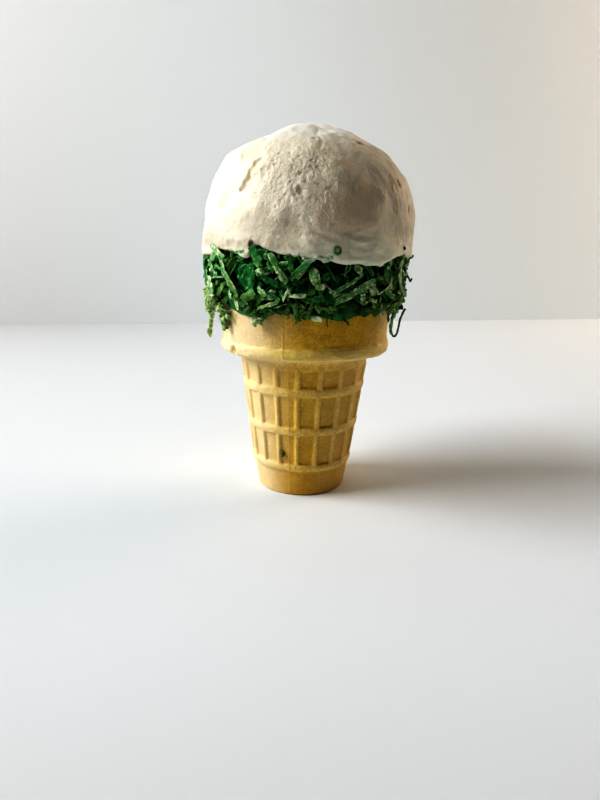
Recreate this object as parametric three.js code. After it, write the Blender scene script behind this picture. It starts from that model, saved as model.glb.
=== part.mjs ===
// Flat-bottomed wafer cup with one large scoop of ice cream. A green candy coat runs round the
// outside of the cup's mouth, and a band of shredded coconut is stuck to it, under the skirt of
// the scoop. The cup stands on its own flat foot.
//
// Millimetres, +Z up. The origin is the centre of the flat base. An azimuth is in degrees round
// the upright axis: 0 is the front (-Y) and 90 is the right-hand side (+X).

import * as THREE from 'three';

// ---- wafer cup: the tapered lower wall and its raised lattice ----
const BASE_RADIUS = 14.03; // of the tapered wall, where it meets the base plane
const WALL_TAPER = 0.13; // radius gained for each mm of height
const BASE_EDGE = 0.5; // rounding where the wall meets the base
const FOOT_SETBACK = 0.25; // how far the plain foot lies behind the lowest ring
const RING_PROUD = 0.15; // how far the rings stand out past the ribs
const RING_STEP = 0.3; // height of the step from the foot to the lowest ring
const RINGS = [
  { low: 8.3, high: 10.5 },
  { low: 20.2, high: 22.6 },
  { low: 32.2, high: 34.8 },
];
const RIB_COUNT = 18;
const RIB_PHASE = -5.5; // azimuth of the rib nearest the front
const RIB_TOP_HALF = 2.5; // degrees from a rib's middle to the edge of its top
const RIB_FOOT_HALF = 3.6; // degrees from a rib's middle to where it meets the panel
const PANEL_DEPTH = 0.7;
const PANEL_DRAFT = 0.35; // height over which a panel slopes back to the ring above or below
const TOP_BAND_LOW = 40.3; // lower edge of the plain band above the lattice

// ---- wafer cup: the shelf, bead and collar ----
const SHELF_START = 42.4; // height where the wall starts to flare out to the bead
const SHELF_STEPS = 4;
const BEAD_HEIGHT = 45.55; // of the bead's middle
const BEAD_CORE = 24.3; // radius of the bead's middle
const BEAD_OUT = 1.45; // half-width of the bead's oval section
const BEAD_UP = 1.45; // half-height of the bead's oval section
const BEAD_STEPS = 6;
const COLLAR_FOOT = 47.15; // height where the collar rises from the bead
const COLLAR_RADIUS = 24.5; // at its foot
const COLLAR_TAPER = 0.027; // radius gained for each mm of height
const RIM_HEIGHT = 74;
const RIM_EDGE = 0.5;

// ---- what surrounds the collar ----
const GAP = 0.3; // between pieces that touch
const COLUMNS = 60; // columns of facets in the candy, the coconut and the ice cream
const CANDY_THICKNESS = 1.1;
const CANDY_LIP = 0.5; // thickness at its lower edge
const CANDY_BULGE = 1.5; // height over which the coat thickens from its lower lip
const CANDY_EDGE = 56.4; // mean height of its wavy lower edge
const CANDY_WAVES = [
  { depth: 0.8, turns: 6, crest: -19.5 },
  { depth: 0.4, turns: 11, crest: 40 },
];
const CANDY_TOP = 73.4;
const COCONUT_RADIUS = 28.7; // outer radius at its top and bottom
const COCONUT_BELLY = 1.3; // how much further out its middle is
const COCONUT_EDGE = 59.2; // mean height of its ragged lower edge
const COCONUT_WAVES = [
  { depth: 0.9, turns: 7, crest: -40 },
  { depth: 0.5, turns: 12, crest: 15 },
];
const COCONUT_ROWS = 5;
const TUFTS = [
  { depth: 0.5, turns: 8, shift: 25 },
  { depth: 0.4, turns: 13, shift: 11 },
]; // its uneven outside, whose waves shift by some degrees from row to row

// ---- scoop of ice cream ----
const SCOOP_RADIUS = 30.7;
const SCOOP_WAIST = 76; // height of its widest ring
const SCOOP_TOP = 107.6;
const SCOOP_FULLNESS = 2.7; // 2 would be a round dome, more is fuller in the shoulder
const SCOOP_LEAN = 1.0; // how far its middle bulges to the right
const SCOOP_UNEVEN = 0.45;
const SCOOP_ROWS = 12;
const SCOOP_SWELLS = [
  { turns: 3, crest: 90, shift: 40 },
  { turns: 5, crest: 0, shift: 90 },
]; // low waves round the dome, whose crests shift by some degrees from its waist to its top
const SKIRT_EDGE = 71.9; // mean height of the skirt's wavy lower edge
const SKIRT_WAVES = [
  { depth: 0.8, turns: 5, crest: -55 },
  { depth: 0.4, turns: 9, crest: -22 },
];
const SKIRT_INNER = 28.2;
const SKIRT_OUTER = 30.5;
const SEAT_RADIUS = 26.8; // of the flat underside that rests on the cup's rim

const { sin, cos, sqrt, PI } = Math;
const radians = THREE.MathUtils.degToRad;

/** A wave round the axis: `turns` whole waves, with a crest at azimuth `crest`. */
function wave(azimuth, turns, crest) {
  return cos(turns * radians(azimuth - crest));
}

/** A wavy edge: its height at an azimuth, from its mean height and its waves. */
function wavyEdge(mean, waves) {
  return (azimuth) => waves.reduce((z, w) => z + w.depth * wave(azimuth, w.turns, w.crest), mean);
}

/** The point at an azimuth, a radius and a height, round an upright axis through (centreX, 0). */
function pointAt(azimuth, radius, z, centreX = 0) {
  const turn = radians(azimuth);
  return new THREE.Vector3(centreX + radius * sin(turn), -radius * cos(turn), z);
}

/** Triangles that join each loop of points to the next, and with `around` the last to the first. */
function joinLoops(loopCount, columns, around) {
  const triangles = [];
  const spans = around ? loopCount : loopCount - 1;
  for (let i = 0; i < spans; i++) {
    const low = i * columns;
    const high = ((i + 1) % loopCount) * columns;
    for (let j = 0; j < columns; j++) {
      const next = (j + 1) % columns;
      triangles.push(low + j, low + next, high + next);
      triangles.push(low + j, high + next, high + j);
    }
  }
  return triangles;
}

/** A geometry with shared corners from its points and its triangles. */
function geometryOf(points, triangles) {
  const geometry = new THREE.BufferGeometry().setFromPoints(points);
  geometry.setIndex(triangles);
  geometry.computeVertexNormals();
  return geometry;
}

/** A solid round the axis: loops from its underside outwards and up, closed by a point each end. */
function turnedSolid(loops, poleLow, poleHigh) {
  const columns = loops[0].length;
  const triangles = joinLoops(loops.length, columns, false);
  const points = loops.flat();
  const low = points.push(poleLow) - 1;
  const high = points.push(poleHigh) - 1;
  const lastLoop = (loops.length - 1) * columns;
  for (let j = 0; j < columns; j++) {
    const next = (j + 1) % columns;
    triangles.push(low, next, j);
    triangles.push(high, lastLoop + j, lastLoop + next);
  }
  return geometryOf(points, triangles);
}

/** A ring round the axis: its section's loops run outwards at the bottom and inwards at the top. */
function turnedRing(loops) {
  return geometryOf(loops.flat(), joinLoops(loops.length, loops[0].length, true));
}

// ---- wafer cup ----

const wallRadius = (z) => BASE_RADIUS + WALL_TAPER * z;
const collarRadius = (z) => COLLAR_RADIUS + COLLAR_TAPER * (z - COLLAR_FOOT);

/** The azimuths of the lattice's corners, each marked as on a panel or on top of a rib. */
function latticeColumns() {
  const pitch = 360 / RIB_COUNT;
  const columns = [];
  for (let k = 0; k < RIB_COUNT; k++) {
    const middle = RIB_PHASE + pitch * k;
    columns.push({ azimuth: middle - RIB_FOOT_HALF, onPanel: true });
    columns.push({ azimuth: middle - RIB_TOP_HALF, onPanel: false });
    columns.push({ azimuth: middle + RIB_TOP_HALF, onPanel: false });
    columns.push({ azimuth: middle + RIB_FOOT_HALF, onPanel: true });
    columns.push({ azimuth: middle + pitch / 2, onPanel: true });
  }
  return columns;
}

/** Cup: plain foot, three rings joined by ribs, plain band, shelf, bead and collar. */
function waferCup() {
  const columns = latticeColumns();
  const loops = [];
  const plain = (radius, z) => loops.push(columns.map((c) => pointAt(c.azimuth, radius, z)));
  const panelled = (z) => {
    const depth = (column) => (column.onPanel ? PANEL_DEPTH : 0);
    loops.push(columns.map((c) => pointAt(c.azimuth, wallRadius(z) - depth(c), z)));
  };

  const footTop = RINGS[0].low - RING_STEP;
  plain(wallRadius(0) - BASE_EDGE, 0);
  plain(wallRadius(BASE_EDGE) - FOOT_SETBACK, BASE_EDGE);
  plain(wallRadius(footTop) - FOOT_SETBACK, footTop);
  RINGS.forEach((ring, i) => {
    const panelTop = i + 1 < RINGS.length ? RINGS[i + 1].low : TOP_BAND_LOW;
    plain(wallRadius(ring.low) + RING_PROUD, ring.low);
    plain(wallRadius(ring.high) + RING_PROUD, ring.high);
    panelled(ring.high + PANEL_DRAFT);
    panelled(panelTop - PANEL_DRAFT);
  });
  plain(wallRadius(TOP_BAND_LOW), TOP_BAND_LOW);

  const shelfInner = wallRadius(SHELF_START);
  const shelfRise = BEAD_HEIGHT - BEAD_UP - SHELF_START;
  for (let i = 0; i < SHELF_STEPS; i++) {
    const turn = (PI / 2) * (i / SHELF_STEPS);
    plain(shelfInner + (BEAD_CORE - shelfInner) * (1 - cos(turn)), SHELF_START + shelfRise * sin(turn));
  }
  for (let i = 0; i <= BEAD_STEPS; i++) {
    const turn = PI * (i / BEAD_STEPS - 0.5);
    plain(BEAD_CORE + BEAD_OUT * cos(turn), BEAD_HEIGHT + BEAD_UP * sin(turn));
  }
  plain(collarRadius(COLLAR_FOOT), COLLAR_FOOT);
  plain(collarRadius(RIM_HEIGHT - RIM_EDGE), RIM_HEIGHT - RIM_EDGE);
  plain(collarRadius(RIM_HEIGHT) - RIM_EDGE, RIM_HEIGHT);
  return turnedSolid(loops, new THREE.Vector3(0, 0, 0), new THREE.Vector3(0, 0, RIM_HEIGHT));
}

// ---- candy coat, coconut and ice cream: columns at equal azimuths ----

const AZIMUTHS = Array.from({ length: COLUMNS }, (_, j) => (360 / COLUMNS) * j);

/** One loop of points from a radius and a height, each a number or a function of the azimuth. */
function loopOf(radius, z, centreX = 0) {
  const at = (value, azimuth) => (typeof value === 'function' ? value(azimuth) : value);
  return AZIMUTHS.map((a) => pointAt(a, at(radius, a), at(z, a), centreX));
}

const candyInner = (z) => collarRadius(z) + GAP;
const candyOuter = (z) => candyInner(z) + CANDY_THICKNESS;
const candyEdge = wavyEdge(CANDY_EDGE, CANDY_WAVES);
const coconutEdge = wavyEdge(COCONUT_EDGE, COCONUT_WAVES);
const skirtEdge = wavyEdge(SKIRT_EDGE, SKIRT_WAVES);

/** Candy coat: a thin ring with a wavy lower edge, down the outside of the cup's collar. */
function candyCoat() {
  return turnedRing([
    loopOf((a) => candyInner(candyEdge(a)), candyEdge),
    loopOf((a) => candyInner(candyEdge(a)) + CANDY_LIP, candyEdge),
    loopOf((a) => candyOuter(candyEdge(a)), (a) => candyEdge(a) + CANDY_BULGE),
    loopOf(candyOuter(CANDY_TOP), CANDY_TOP),
    loopOf(candyInner(CANDY_TOP), CANDY_TOP),
  ]);
}

/** Coconut: the ragged outline of the shreds stuck round the candy coat, as one solid ring. */
function coconutBand() {
  const top = (a) => skirtEdge(a) - GAP;
  const loops = [loopOf((a) => candyOuter(coconutEdge(a)) + GAP, coconutEdge)];
  for (let i = 0; i <= COCONUT_ROWS; i++) {
    const share = i / COCONUT_ROWS;
    const barrel = COCONUT_RADIUS + COCONUT_BELLY * sin(PI * share);
    loops.push(loopOf(
      (a) => TUFTS.reduce((radius, t) => radius + t.depth * wave(a, t.turns, t.shift * i), barrel),
      (a) => coconutEdge(a) + (top(a) - coconutEdge(a)) * share,
    ));
  }
  loops.push(loopOf((a) => candyOuter(top(a)) + GAP, top));
  return turnedRing(loops);
}

/** Ice cream: a full, uneven dome whose wavy skirt hangs over the coconut. */
function iceCream() {
  const seat = RIM_HEIGHT + GAP;
  const loops = [
    loopOf(SEAT_RADIUS, seat),
    loopOf(SKIRT_INNER, skirtEdge),
    loopOf(SKIRT_OUTER, skirtEdge),
  ];
  const rise = SCOOP_TOP - SCOOP_WAIST;
  for (let i = 0; i < SCOOP_ROWS; i++) {
    const share = sin((PI / 2) * (i / SCOOP_ROWS));
    const z = SCOOP_WAIST + rise * share;
    const dome = SCOOP_RADIUS * sqrt(1 - share ** SCOOP_FULLNESS);
    const uneven = SCOOP_UNEVEN * (1 - share);
    loops.push(loopOf(
      (a) => SCOOP_SWELLS.reduce((r, s) => r + uneven * wave(a, s.turns, s.crest + s.shift * share), dome),
      z,
      SCOOP_LEAN * sin(PI * share),
    ));
  }
  return turnedSolid(loops, new THREE.Vector3(0, 0, seat), new THREE.Vector3(0, 0, SCOOP_TOP));
}

// ---- the object ----

/** A named mesh with its own plain material. */
function piece(name, geometry, color, roughness) {
  const material = new THREE.MeshStandardMaterial({ color, roughness, metalness: 0 });
  const mesh = new THREE.Mesh(geometry, material);
  mesh.name = name;
  return mesh;
}

const cone = new THREE.Group();
cone.add(piece('wafer_cup', waferCup(), 0xd9ac5c, 0.75));
cone.add(piece('candy_coat', candyCoat(), 0x0c5c2e, 0.25));
cone.add(piece('coconut_band', coconutBand(), 0x47702f, 0.7));
cone.add(piece('ice_cream', iceCream(), 0xece5d6, 0.6));

export default cone;
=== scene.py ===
import logging
import math
from contextlib import contextmanager
from dataclasses import dataclass, field
from enum import Enum
from typing import Callable, Iterator, Sequence

import bmesh
import bpy
import numpy as np
from mathutils import Matrix, Vector


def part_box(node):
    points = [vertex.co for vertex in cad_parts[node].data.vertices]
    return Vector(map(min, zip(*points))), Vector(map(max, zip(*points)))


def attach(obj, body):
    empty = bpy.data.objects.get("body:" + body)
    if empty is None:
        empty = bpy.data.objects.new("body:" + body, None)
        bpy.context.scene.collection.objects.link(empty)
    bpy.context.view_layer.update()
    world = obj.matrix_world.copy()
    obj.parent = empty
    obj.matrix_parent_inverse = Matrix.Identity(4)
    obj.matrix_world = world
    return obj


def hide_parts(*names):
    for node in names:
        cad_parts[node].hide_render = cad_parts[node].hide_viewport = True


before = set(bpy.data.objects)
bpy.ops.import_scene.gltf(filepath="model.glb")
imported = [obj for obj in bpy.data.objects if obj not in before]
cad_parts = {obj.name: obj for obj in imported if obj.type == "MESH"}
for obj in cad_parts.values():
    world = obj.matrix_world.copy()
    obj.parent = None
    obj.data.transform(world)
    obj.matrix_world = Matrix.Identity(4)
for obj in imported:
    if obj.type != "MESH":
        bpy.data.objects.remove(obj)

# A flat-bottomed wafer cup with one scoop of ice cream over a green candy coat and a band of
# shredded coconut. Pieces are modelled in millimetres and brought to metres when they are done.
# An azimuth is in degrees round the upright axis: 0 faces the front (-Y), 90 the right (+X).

MM = 0.001
LOG = logging.getLogger("cone")

Colour = tuple[float, float, float]
Material = bpy.types.Material
Outline = tuple[tuple[float, float], ...]
Places = np.ndarray
Weigh = Callable[[Places], np.ndarray]
Test = Callable[[Vector], bool]


# --- Places on the object ---

def azimuth_of(places: Places) -> np.ndarray:
    """Azimuth of each place in degrees, growing from the front to the right."""
    return np.degrees(np.arctan2(places[:, 0], -places[:, 1]))


def radius_of(places: Places) -> np.ndarray:
    """Distance of each place from the upright axis."""
    return np.hypot(places[:, 0], places[:, 1])


def turn_between(azimuths: np.ndarray, middle: float) -> np.ndarray:
    """Signed angle from a middle azimuth to each azimuth, between -180 and 180."""
    return (azimuths - middle + 180.0) % 360.0 - 180.0


def on_ring(azimuth: float, radius: float, height: float) -> Vector:
    """The place at an azimuth, a radius and a height round the axis."""
    turn = math.radians(azimuth)
    return Vector((radius * math.sin(turn), -radius * math.cos(turn), height))


def smooth_step(values: np.ndarray, low: float, high: float) -> np.ndarray:
    """0 below low, 1 above high, and an S-curve between them; low may be the larger."""
    share = np.clip((values - low) / (high - low), 0.0, 1.0)
    return share * share * (3.0 - 2.0 * share)


def between(values: np.ndarray, low: float, rise: float, fall: float, high: float) -> np.ndarray:
    """1 from rise to fall, and 0 below low and above high."""
    return smooth_step(values, low, rise) * smooth_step(values, high, fall)


def near(places: Places, middle: Sequence[float], far: float, close: float) -> np.ndarray:
    """1 close to a middle and 0 far from it, the two distances in millimetres."""
    return smooth_step(np.linalg.norm(places - np.array(middle), axis=1), far, close)


def turned_pair(first: np.ndarray, second: np.ndarray, angle: float) -> tuple[np.ndarray, np.ndarray]:
    """Two coordinates turned by an angle in radians."""
    cosine, sine = math.cos(angle), math.sin(angle)
    return first * cosine - second * sine, first * sine + second * cosine


def edge_height(places: Places, edge: Sequence[tuple[float, float]]) -> np.ndarray:
    """Height of a wavy edge, given as azimuths and heights, below or above each place."""
    azimuths, heights = zip(*edge)
    return np.interp(azimuth_of(places), azimuths, heights)


def near_path(places: Places, path: Sequence[Vector]) -> np.ndarray:
    """Distance from each place to the nearest stretch of a path.

    Args:
        places: Rows of x, y and z.
        path: Corners of the path.

    Returns:
        The distances, in millimetres.
    """
    nearest = np.full(len(places), np.inf)
    for start, end in zip(path, path[1:]):
        first, run = np.array(start), np.array(end - start)
        share = np.clip((places - first) @ run / (run @ run), 0.0, 1.0)
        away = np.linalg.norm(places - first - share[:, None] * run, axis=1)
        nearest = np.minimum(nearest, away)
    return nearest


def smooth_path(corners: Sequence[Vector], stretches: int = 6) -> list[Vector]:
    """A smooth path through corners.

    Args:
        corners: Places that it passes.
        stretches: Number of points from one corner to the next.

    Returns:
        Points of the path.
    """
    padded = [2 * corners[0] - corners[1], *corners, 2 * corners[-1] - corners[-2]]
    points = []
    for before, start, end, after in zip(padded, padded[1:], padded[2:], padded[3:]):
        for share in np.linspace(0.0, 1.0, stretches, endpoint=False):
            square, cube = share * share, share ** 3
            points.append(0.5 * (
                2 * start
                + (end - before) * share
                + (2 * before - 5 * start + 4 * end - after) * square
                + (3 * start - before - 3 * end + after) * cube
            ))
    return [*points, corners[-1]]


# --- Shader arithmetic ---

class Signal:
    """A shader output that takes Python arithmetic, one Math node for each operation."""

    def __init__(self, recipe: "Recipe", socket: bpy.types.NodeSocket) -> None:
        """Wraps the output socket of one of the recipe's nodes."""
        self.recipe = recipe
        self.socket = socket

    def _math(self, operation: str, *values: object) -> "Signal":
        """One Math node on its inputs in order, signals or numbers."""
        return self.recipe.node("ShaderNodeMath", {"operation": operation}, dict(enumerate(values)))

    def __add__(self, other: object) -> "Signal":
        """Sum."""
        return self._math("ADD", self, other)

    __radd__ = __add__

    def __sub__(self, other: object) -> "Signal":
        """Difference."""
        return self._math("SUBTRACT", self, other)

    def __rsub__(self, other: object) -> "Signal":
        """Difference from a number."""
        return self._math("SUBTRACT", other, self)

    def __mul__(self, other: object) -> "Signal":
        """Product."""
        return self._math("MULTIPLY", self, other)

    __rmul__ = __mul__

    def __truediv__(self, other: object) -> "Signal":
        """Quotient."""
        return self._math("DIVIDE", self, other)

    def step(self, low: float, high: float) -> "Signal":
        """0 at low, 1 at high, and an S-curve between them; low may be the larger."""
        limits = {"Value": self, "From Min": low, "From Max": high}
        return self.recipe.node("ShaderNodeMapRange", {"interpolation_type": "SMOOTHSTEP"}, limits)


@dataclass(frozen=True)
class Mottle:
    """A pattern cut from soft noise: 0 where the noise is low, its full share where it is high.

    Its size is in millimetres. A low value above the high one turns the pattern round.
    """

    size: float
    low: float
    high: float
    share: float = 1.0
    detail: float = 3.0
    roughness: float = 0.5
    drawn: tuple[float, float, float] | None = None
    turn: tuple[float, float, float] = (0.0, 0.0, 0.0)

    def cut(self, noise: Signal) -> Signal:
        """The pattern that the noise gives."""
        return noise.step(self.low, self.high) * self.share


class Recipe:
    """The node tree of one material."""

    def __init__(self, name: str, **constants: object) -> None:
        """Makes the material with one Principled shader.

        Args:
            name: The material's name.
            constants: Values of the shader's sockets, with _ for a space in a socket's name.
        """
        self.material = bpy.data.materials.new(name)
        self.material.use_nodes = True
        self.tree = self.material.node_tree
        self.tree.nodes.clear()
        self.shader = self.tree.nodes.new("ShaderNodeBsdfPrincipled")
        output = self.tree.nodes.new("ShaderNodeOutputMaterial")
        self.tree.links.new(self.shader.outputs[0], output.inputs["Surface"])
        for socket, value in constants.items():
            self.shader.inputs[socket.replace("_", " ")].default_value = value
        self.place = self.node("ShaderNodeTexCoord", output="Object")

    def node(
        self, kind: str, settings: dict[str, object] | None = None,
        inputs: dict[object, object] | None = None, output: object = 0
    ) -> Signal:
        """Adds one node.

        Args:
            kind: The node's type.
            settings: Its properties, set first; "stops" are a ramp's (position, colour) pairs.
            inputs: Values or signals of its sockets, by name or number.
            output: Name or number of the output to return.

        Returns:
            The chosen output.
        """
        made = self.tree.nodes.new(kind)
        for name, value in (settings or {}).items():
            if name == "stops":
                self._set_stops(made.color_ramp, value)
            else:
                setattr(made, name, value)
        for name, value in (inputs or {}).items():
            if isinstance(value, Signal):
                self.tree.links.new(value.socket, made.inputs[name])
            else:
                made.inputs[name].default_value = value
        return Signal(self, made.outputs[output])

    @staticmethod
    def _set_stops(ramp: bpy.types.ColorRamp, stops: Sequence[tuple[float, Colour]]) -> None:
        """Gives a ramp its stops.

        Args:
            ramp: The ramp.
            stops: Pairs of position and colour.
        """
        while len(ramp.elements) < len(stops):
            ramp.elements.new(1.0)
        for element, (position, colour) in zip(ramp.elements, stops):
            element.position = position
            element.color = (*colour, 1.0)

    def noise(
        self, size: float, detail: float = 3.0, roughness: float = 0.5, place: Signal | None = None
    ) -> Signal:
        """Soft noise between 0 and 1.

        Args:
            size: Width of its largest features, in millimetres.
            detail: Number of finer layers.
            roughness: Strength of the finer layers.
            place: Coordinates to read, instead of the piece's own.

        Returns:
            The noise's factor.
        """
        values = {"Vector": place or self.place, "Scale": 1.0 / (size * MM),
                  "Detail": detail, "Roughness": roughness}
        return self.node("ShaderNodeTexNoise", None, values, "Fac")

    def raw(self, mottle: Mottle) -> Signal:
        """A mottle's noise before it is cut."""
        place = self.stretched(mottle.drawn, mottle.turn) if mottle.drawn else None
        return self.noise(mottle.size, mottle.detail, mottle.roughness, place)

    def mottled(self, mottle: Mottle) -> Signal:
        """A mottle's pattern."""
        return mottle.cut(self.raw(mottle))

    def cells(self, size: float) -> Signal:
        """Distance to the nearest of points that lie a size apart, for pores and grains."""
        values = {"Vector": self.place, "Scale": 1.0 / (size * MM)}
        return self.node("ShaderNodeTexVoronoi", None, values, "Distance")

    def stretched(self, scale: Sequence[float], turn: Sequence[float]) -> Signal:
        """The piece's coordinates, turned by angles in degrees and then scaled along each axis."""
        values = {"Vector": self.place, "Scale": scale, "Rotation": [math.radians(a) for a in turn]}
        return self.node("ShaderNodeMapping", None, values)

    def spot(self, middle: Vector, radius: float, soft: float = 0.5) -> Signal:
        """1 within a radius of a place, falling to 0.

        Args:
            middle: The place, in millimetres.
            radius: Where the fall ends, in millimetres.
            soft: Share of the radius over which it falls.

        Returns:
            The mask.
        """
        values = {0: self.place, 1: tuple(c * MM for c in middle)}
        away = self.node("ShaderNodeVectorMath", {"operation": "DISTANCE"}, values, "Value")
        return away.step(radius * MM, radius * (1.0 - soft) * MM)

    def along(self, axis: str) -> Signal:
        """The place's X, Y or Z, in millimetres."""
        return self.node("ShaderNodeSeparateXYZ", None, {0: self.place}, axis) * (1.0 / MM)

    def radius(self) -> Signal:
        """Distance from the upright axis.

        Returns:
            The distance, in millimetres.
        """
        flatten = {0: self.place, 1: (1.0, 1.0, 0.0)}
        level = self.node("ShaderNodeVectorMath", {"operation": "MULTIPLY"}, flatten)
        length = self.node("ShaderNodeVectorMath", {"operation": "LENGTH"}, {0: level}, "Value")
        return length * (1.0 / MM)

    def attribute(self, name: str) -> Signal:
        """A number that the mesh holds for each point."""
        return self.node("ShaderNodeAttribute", {"attribute_name": name}, None, "Fac")

    def ramp(self, factor: Signal, stops: Sequence[tuple[float, Colour]]) -> Signal:
        """The colour that a factor of 0 to 1 picks from pairs of position and colour."""
        return self.node("ShaderNodeValToRGB", {"stops": stops}, {0: factor}, "Color")

    def mix(self, factor: object, first: object, second: object) -> Signal:
        """Mixes two colours.

        Args:
            factor: Share of the second colour.
            first: A colour or a signal.
            second: A colour or a signal.

        Returns:
            The mixed colour.
        """
        def four(value: object) -> object:
            """A plain colour gets its alpha."""
            return value if isinstance(value, Signal) else (*value, 1.0)

        values = {0: factor, 6: four(first), 7: four(second)}
        return self.node("ShaderNodeMix", {"data_type": "RGBA"}, values, 2)

    def layered(self, colour: object, *layers: tuple[object, object]) -> Signal:
        """Lays colours over one another.

        Args:
            colour: The lowest one.
            layers: Pairs of a share and the colour that it brings, from below.

        Returns:
            The colour of them all.
        """
        for share, cover in layers:
            colour = self.mix(share, colour, cover)
        return colour

    def feed(self, socket: str, signal: Signal) -> None:
        """Links a signal to one of the shader's sockets."""
        self.tree.links.new(signal.socket, self.shader.inputs[socket])

    def relief(self, height: Signal, depth: float) -> None:
        """Bumps the surface by a height of about 0 to 1, where 1 stands for a depth in millimetres."""
        values = {"Height": height, "Distance": depth * MM}
        self.feed("Normal", self.node("ShaderNodeBump", None, values, "Normal"))


# --- Modelling ---

class Part(Enum):
    """What a selection in edit mode picks."""

    POINTS = "VERT"
    FACES = "FACE"


class Grain(Enum):
    """Kinds of unevenness: a texture's type and its noise."""

    LUMPS = ("CLOUDS", "SOFT_NOISE")
    CREASES = ("CLOUDS", "HARD_NOISE")
    PORES = ("VORONOI", None)


@dataclass(frozen=True)
class Press:
    """Unevenness pressed into a surface.

    The depth is its full range and the size its features' width, both in millimetres. The level
    is its value that moves nothing, and drawn holds factors that draw it out along x, y and z.
    """

    depth: float
    size: float
    grain: Grain = Grain.LUMPS
    layers: int = 2
    level: float = 0.5
    drawn: tuple[float, float, float] | None = None


def clear_selection() -> None:
    """Deselects every object."""
    bpy.ops.object.select_all(action="DESELECT")


def select_mesh() -> None:
    """Selects all of the mesh in edit mode."""
    bpy.ops.mesh.select_all(action="SELECT")


class Workpiece:
    """One mesh being modelled, in millimetres."""

    def __init__(self, name: str) -> None:
        """Takes the object that was just added.

        Args:
            name: The piece's name.
        """
        self.thing = bpy.context.object
        self.thing.name = name
        self.thing.data.name = name
        self.settle()

    def settle(self) -> None:
        """Takes the object's place, turn and scale into its mesh."""
        bpy.ops.object.transform_apply(location=True, rotation=True, scale=True)

    def take(self) -> None:
        """Selects this piece alone."""
        clear_selection()
        self.thing.select_set(True)
        bpy.context.view_layer.objects.active = self.thing

    @classmethod
    def line(cls, name: str, points: Sequence[Vector]) -> "Workpiece":
        """A row of edges, extruded from point to point.

        Args:
            name: The piece's name.
            points: Places that it passes.

        Returns:
            The new workpiece.
        """
        clear_selection()
        bpy.ops.mesh.primitive_plane_add(size=1.0, location=points[0])
        made = cls(name)
        with made.editing():
            select_mesh()
            bpy.ops.mesh.merge(type="CENTER")
            for start, end in zip(points, points[1:]):
                bpy.ops.mesh.extrude_vertices_move(TRANSFORM_OT_translate={"value": end - start})
        return made

    @classmethod
    def turned(cls, name: str, profile: Sequence[tuple[float, float]], columns: int) -> "Workpiece":
        """Spins an outline of radius and height into a closed body.

        Args:
            name: The piece's name.
            profile: Corners of the outline; one that doesn't meet the axis is closed on itself.
            columns: Number of faces round the axis.

        Returns:
            The new workpiece.
        """
        made = cls.line(name, [Vector((radius, 0.0, height)) for radius, height in profile])
        with made.editing():
            select_mesh()
            if profile[0][0] > 0.0:
                bpy.ops.mesh.remove_doubles(threshold=1e-4)
            bpy.ops.mesh.spin(steps=columns, angle=math.tau, center=(0, 0, 0), axis=(0, 0, 1))
            select_mesh()
            bpy.ops.mesh.remove_doubles(threshold=1e-4)
            bpy.ops.mesh.normals_make_consistent(inside=False)
        return made

    @classmethod
    def strand(cls, name: str, corners: Sequence[Sequence[float]], width: float) -> "Workpiece":
        """A thin rounded strand along a smooth path.

        Args:
            name: The piece's name.
            corners: Places that it passes.
            width: Its width, in millimetres.

        Returns:
            The new workpiece.
        """
        made = cls.line(name, smooth_path([Vector(corner) for corner in corners]))
        bpy.ops.object.convert(target="CURVE")
        made.thing.data.bevel_depth = width / 2
        made.thing.data.bevel_resolution = 1
        made.thing.data.use_fill_caps = True
        bpy.ops.object.convert(target="MESH")
        return made

    @classmethod
    def sheet(cls, name: str, columns: int, rows: int) -> "Workpiece":
        """An upright square sheet, one millimetre wide, that faces the front.

        Args:
            name: The piece's name.
            columns: Number of faces across.
            rows: Number of faces up.

        Returns:
            The new workpiece.
        """
        clear_selection()
        bpy.ops.mesh.primitive_grid_add(
            x_subdivisions=columns, y_subdivisions=rows, size=1.0, rotation=(math.pi / 2, 0, 0)
        )
        return cls(name)

    @classmethod
    def balls(cls, name: str, spots: Sequence[tuple], segments: int, rings: int) -> "Workpiece":
        """Balls in one mesh, each turned to face outwards.

        Args:
            name: The piece's name.
            spots: Azimuth, height and radius of each one's middle, and its three half widths.
            segments: Number of faces round each.
            rings: Number of faces from its top to its bottom.

        Returns:
            The new workpiece.
        """
        clear_selection()
        for number, (azimuth, height, radius, halves) in enumerate(spots):
            bpy.ops.mesh.primitive_uv_sphere_add(
                segments=segments, ring_count=rings, radius=1.0, scale=halves,
                location=on_ring(azimuth, radius, height), rotation=(0.0, 0.0, math.radians(azimuth)),
            )
            if number == 0:
                made = cls(name)
                bpy.ops.object.mode_set(mode="EDIT")
        bpy.ops.object.mode_set(mode="OBJECT")
        return made

    @contextmanager
    def editing(self, part: Part = Part.POINTS) -> Iterator[None]:
        """Edit mode on this piece alone.

        Args:
            part: What is picked in it, points or faces.

        Yields:
            Nothing, while the piece is in edit mode.
        """
        self.take()
        bpy.ops.object.mode_set(mode="EDIT")
        bpy.ops.mesh.select_mode(type=part.value)
        yield
        bpy.ops.object.mode_set(mode="OBJECT")

    def pick(self, part: Part, test: Test) -> None:
        """Selects what stands in some place, in edit mode.

        Args:
            part: Points or faces.
            test: Says of a point, or of a face's middle, whether to take it.
        """
        bpy.ops.mesh.select_mode(type=part.value)
        bpy.ops.mesh.select_all(action="DESELECT")
        mesh = bmesh.from_edit_mesh(self.thing.data)
        if part is Part.POINTS:
            found = [v for v in mesh.verts if test(v.co)]
        else:
            found = [f for f in mesh.faces if test(f.calc_center_median())]
        for item in found:
            item.select_set(True)
        mesh.select_flush_mode()
        bmesh.update_edit_mesh(self.thing.data)

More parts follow.
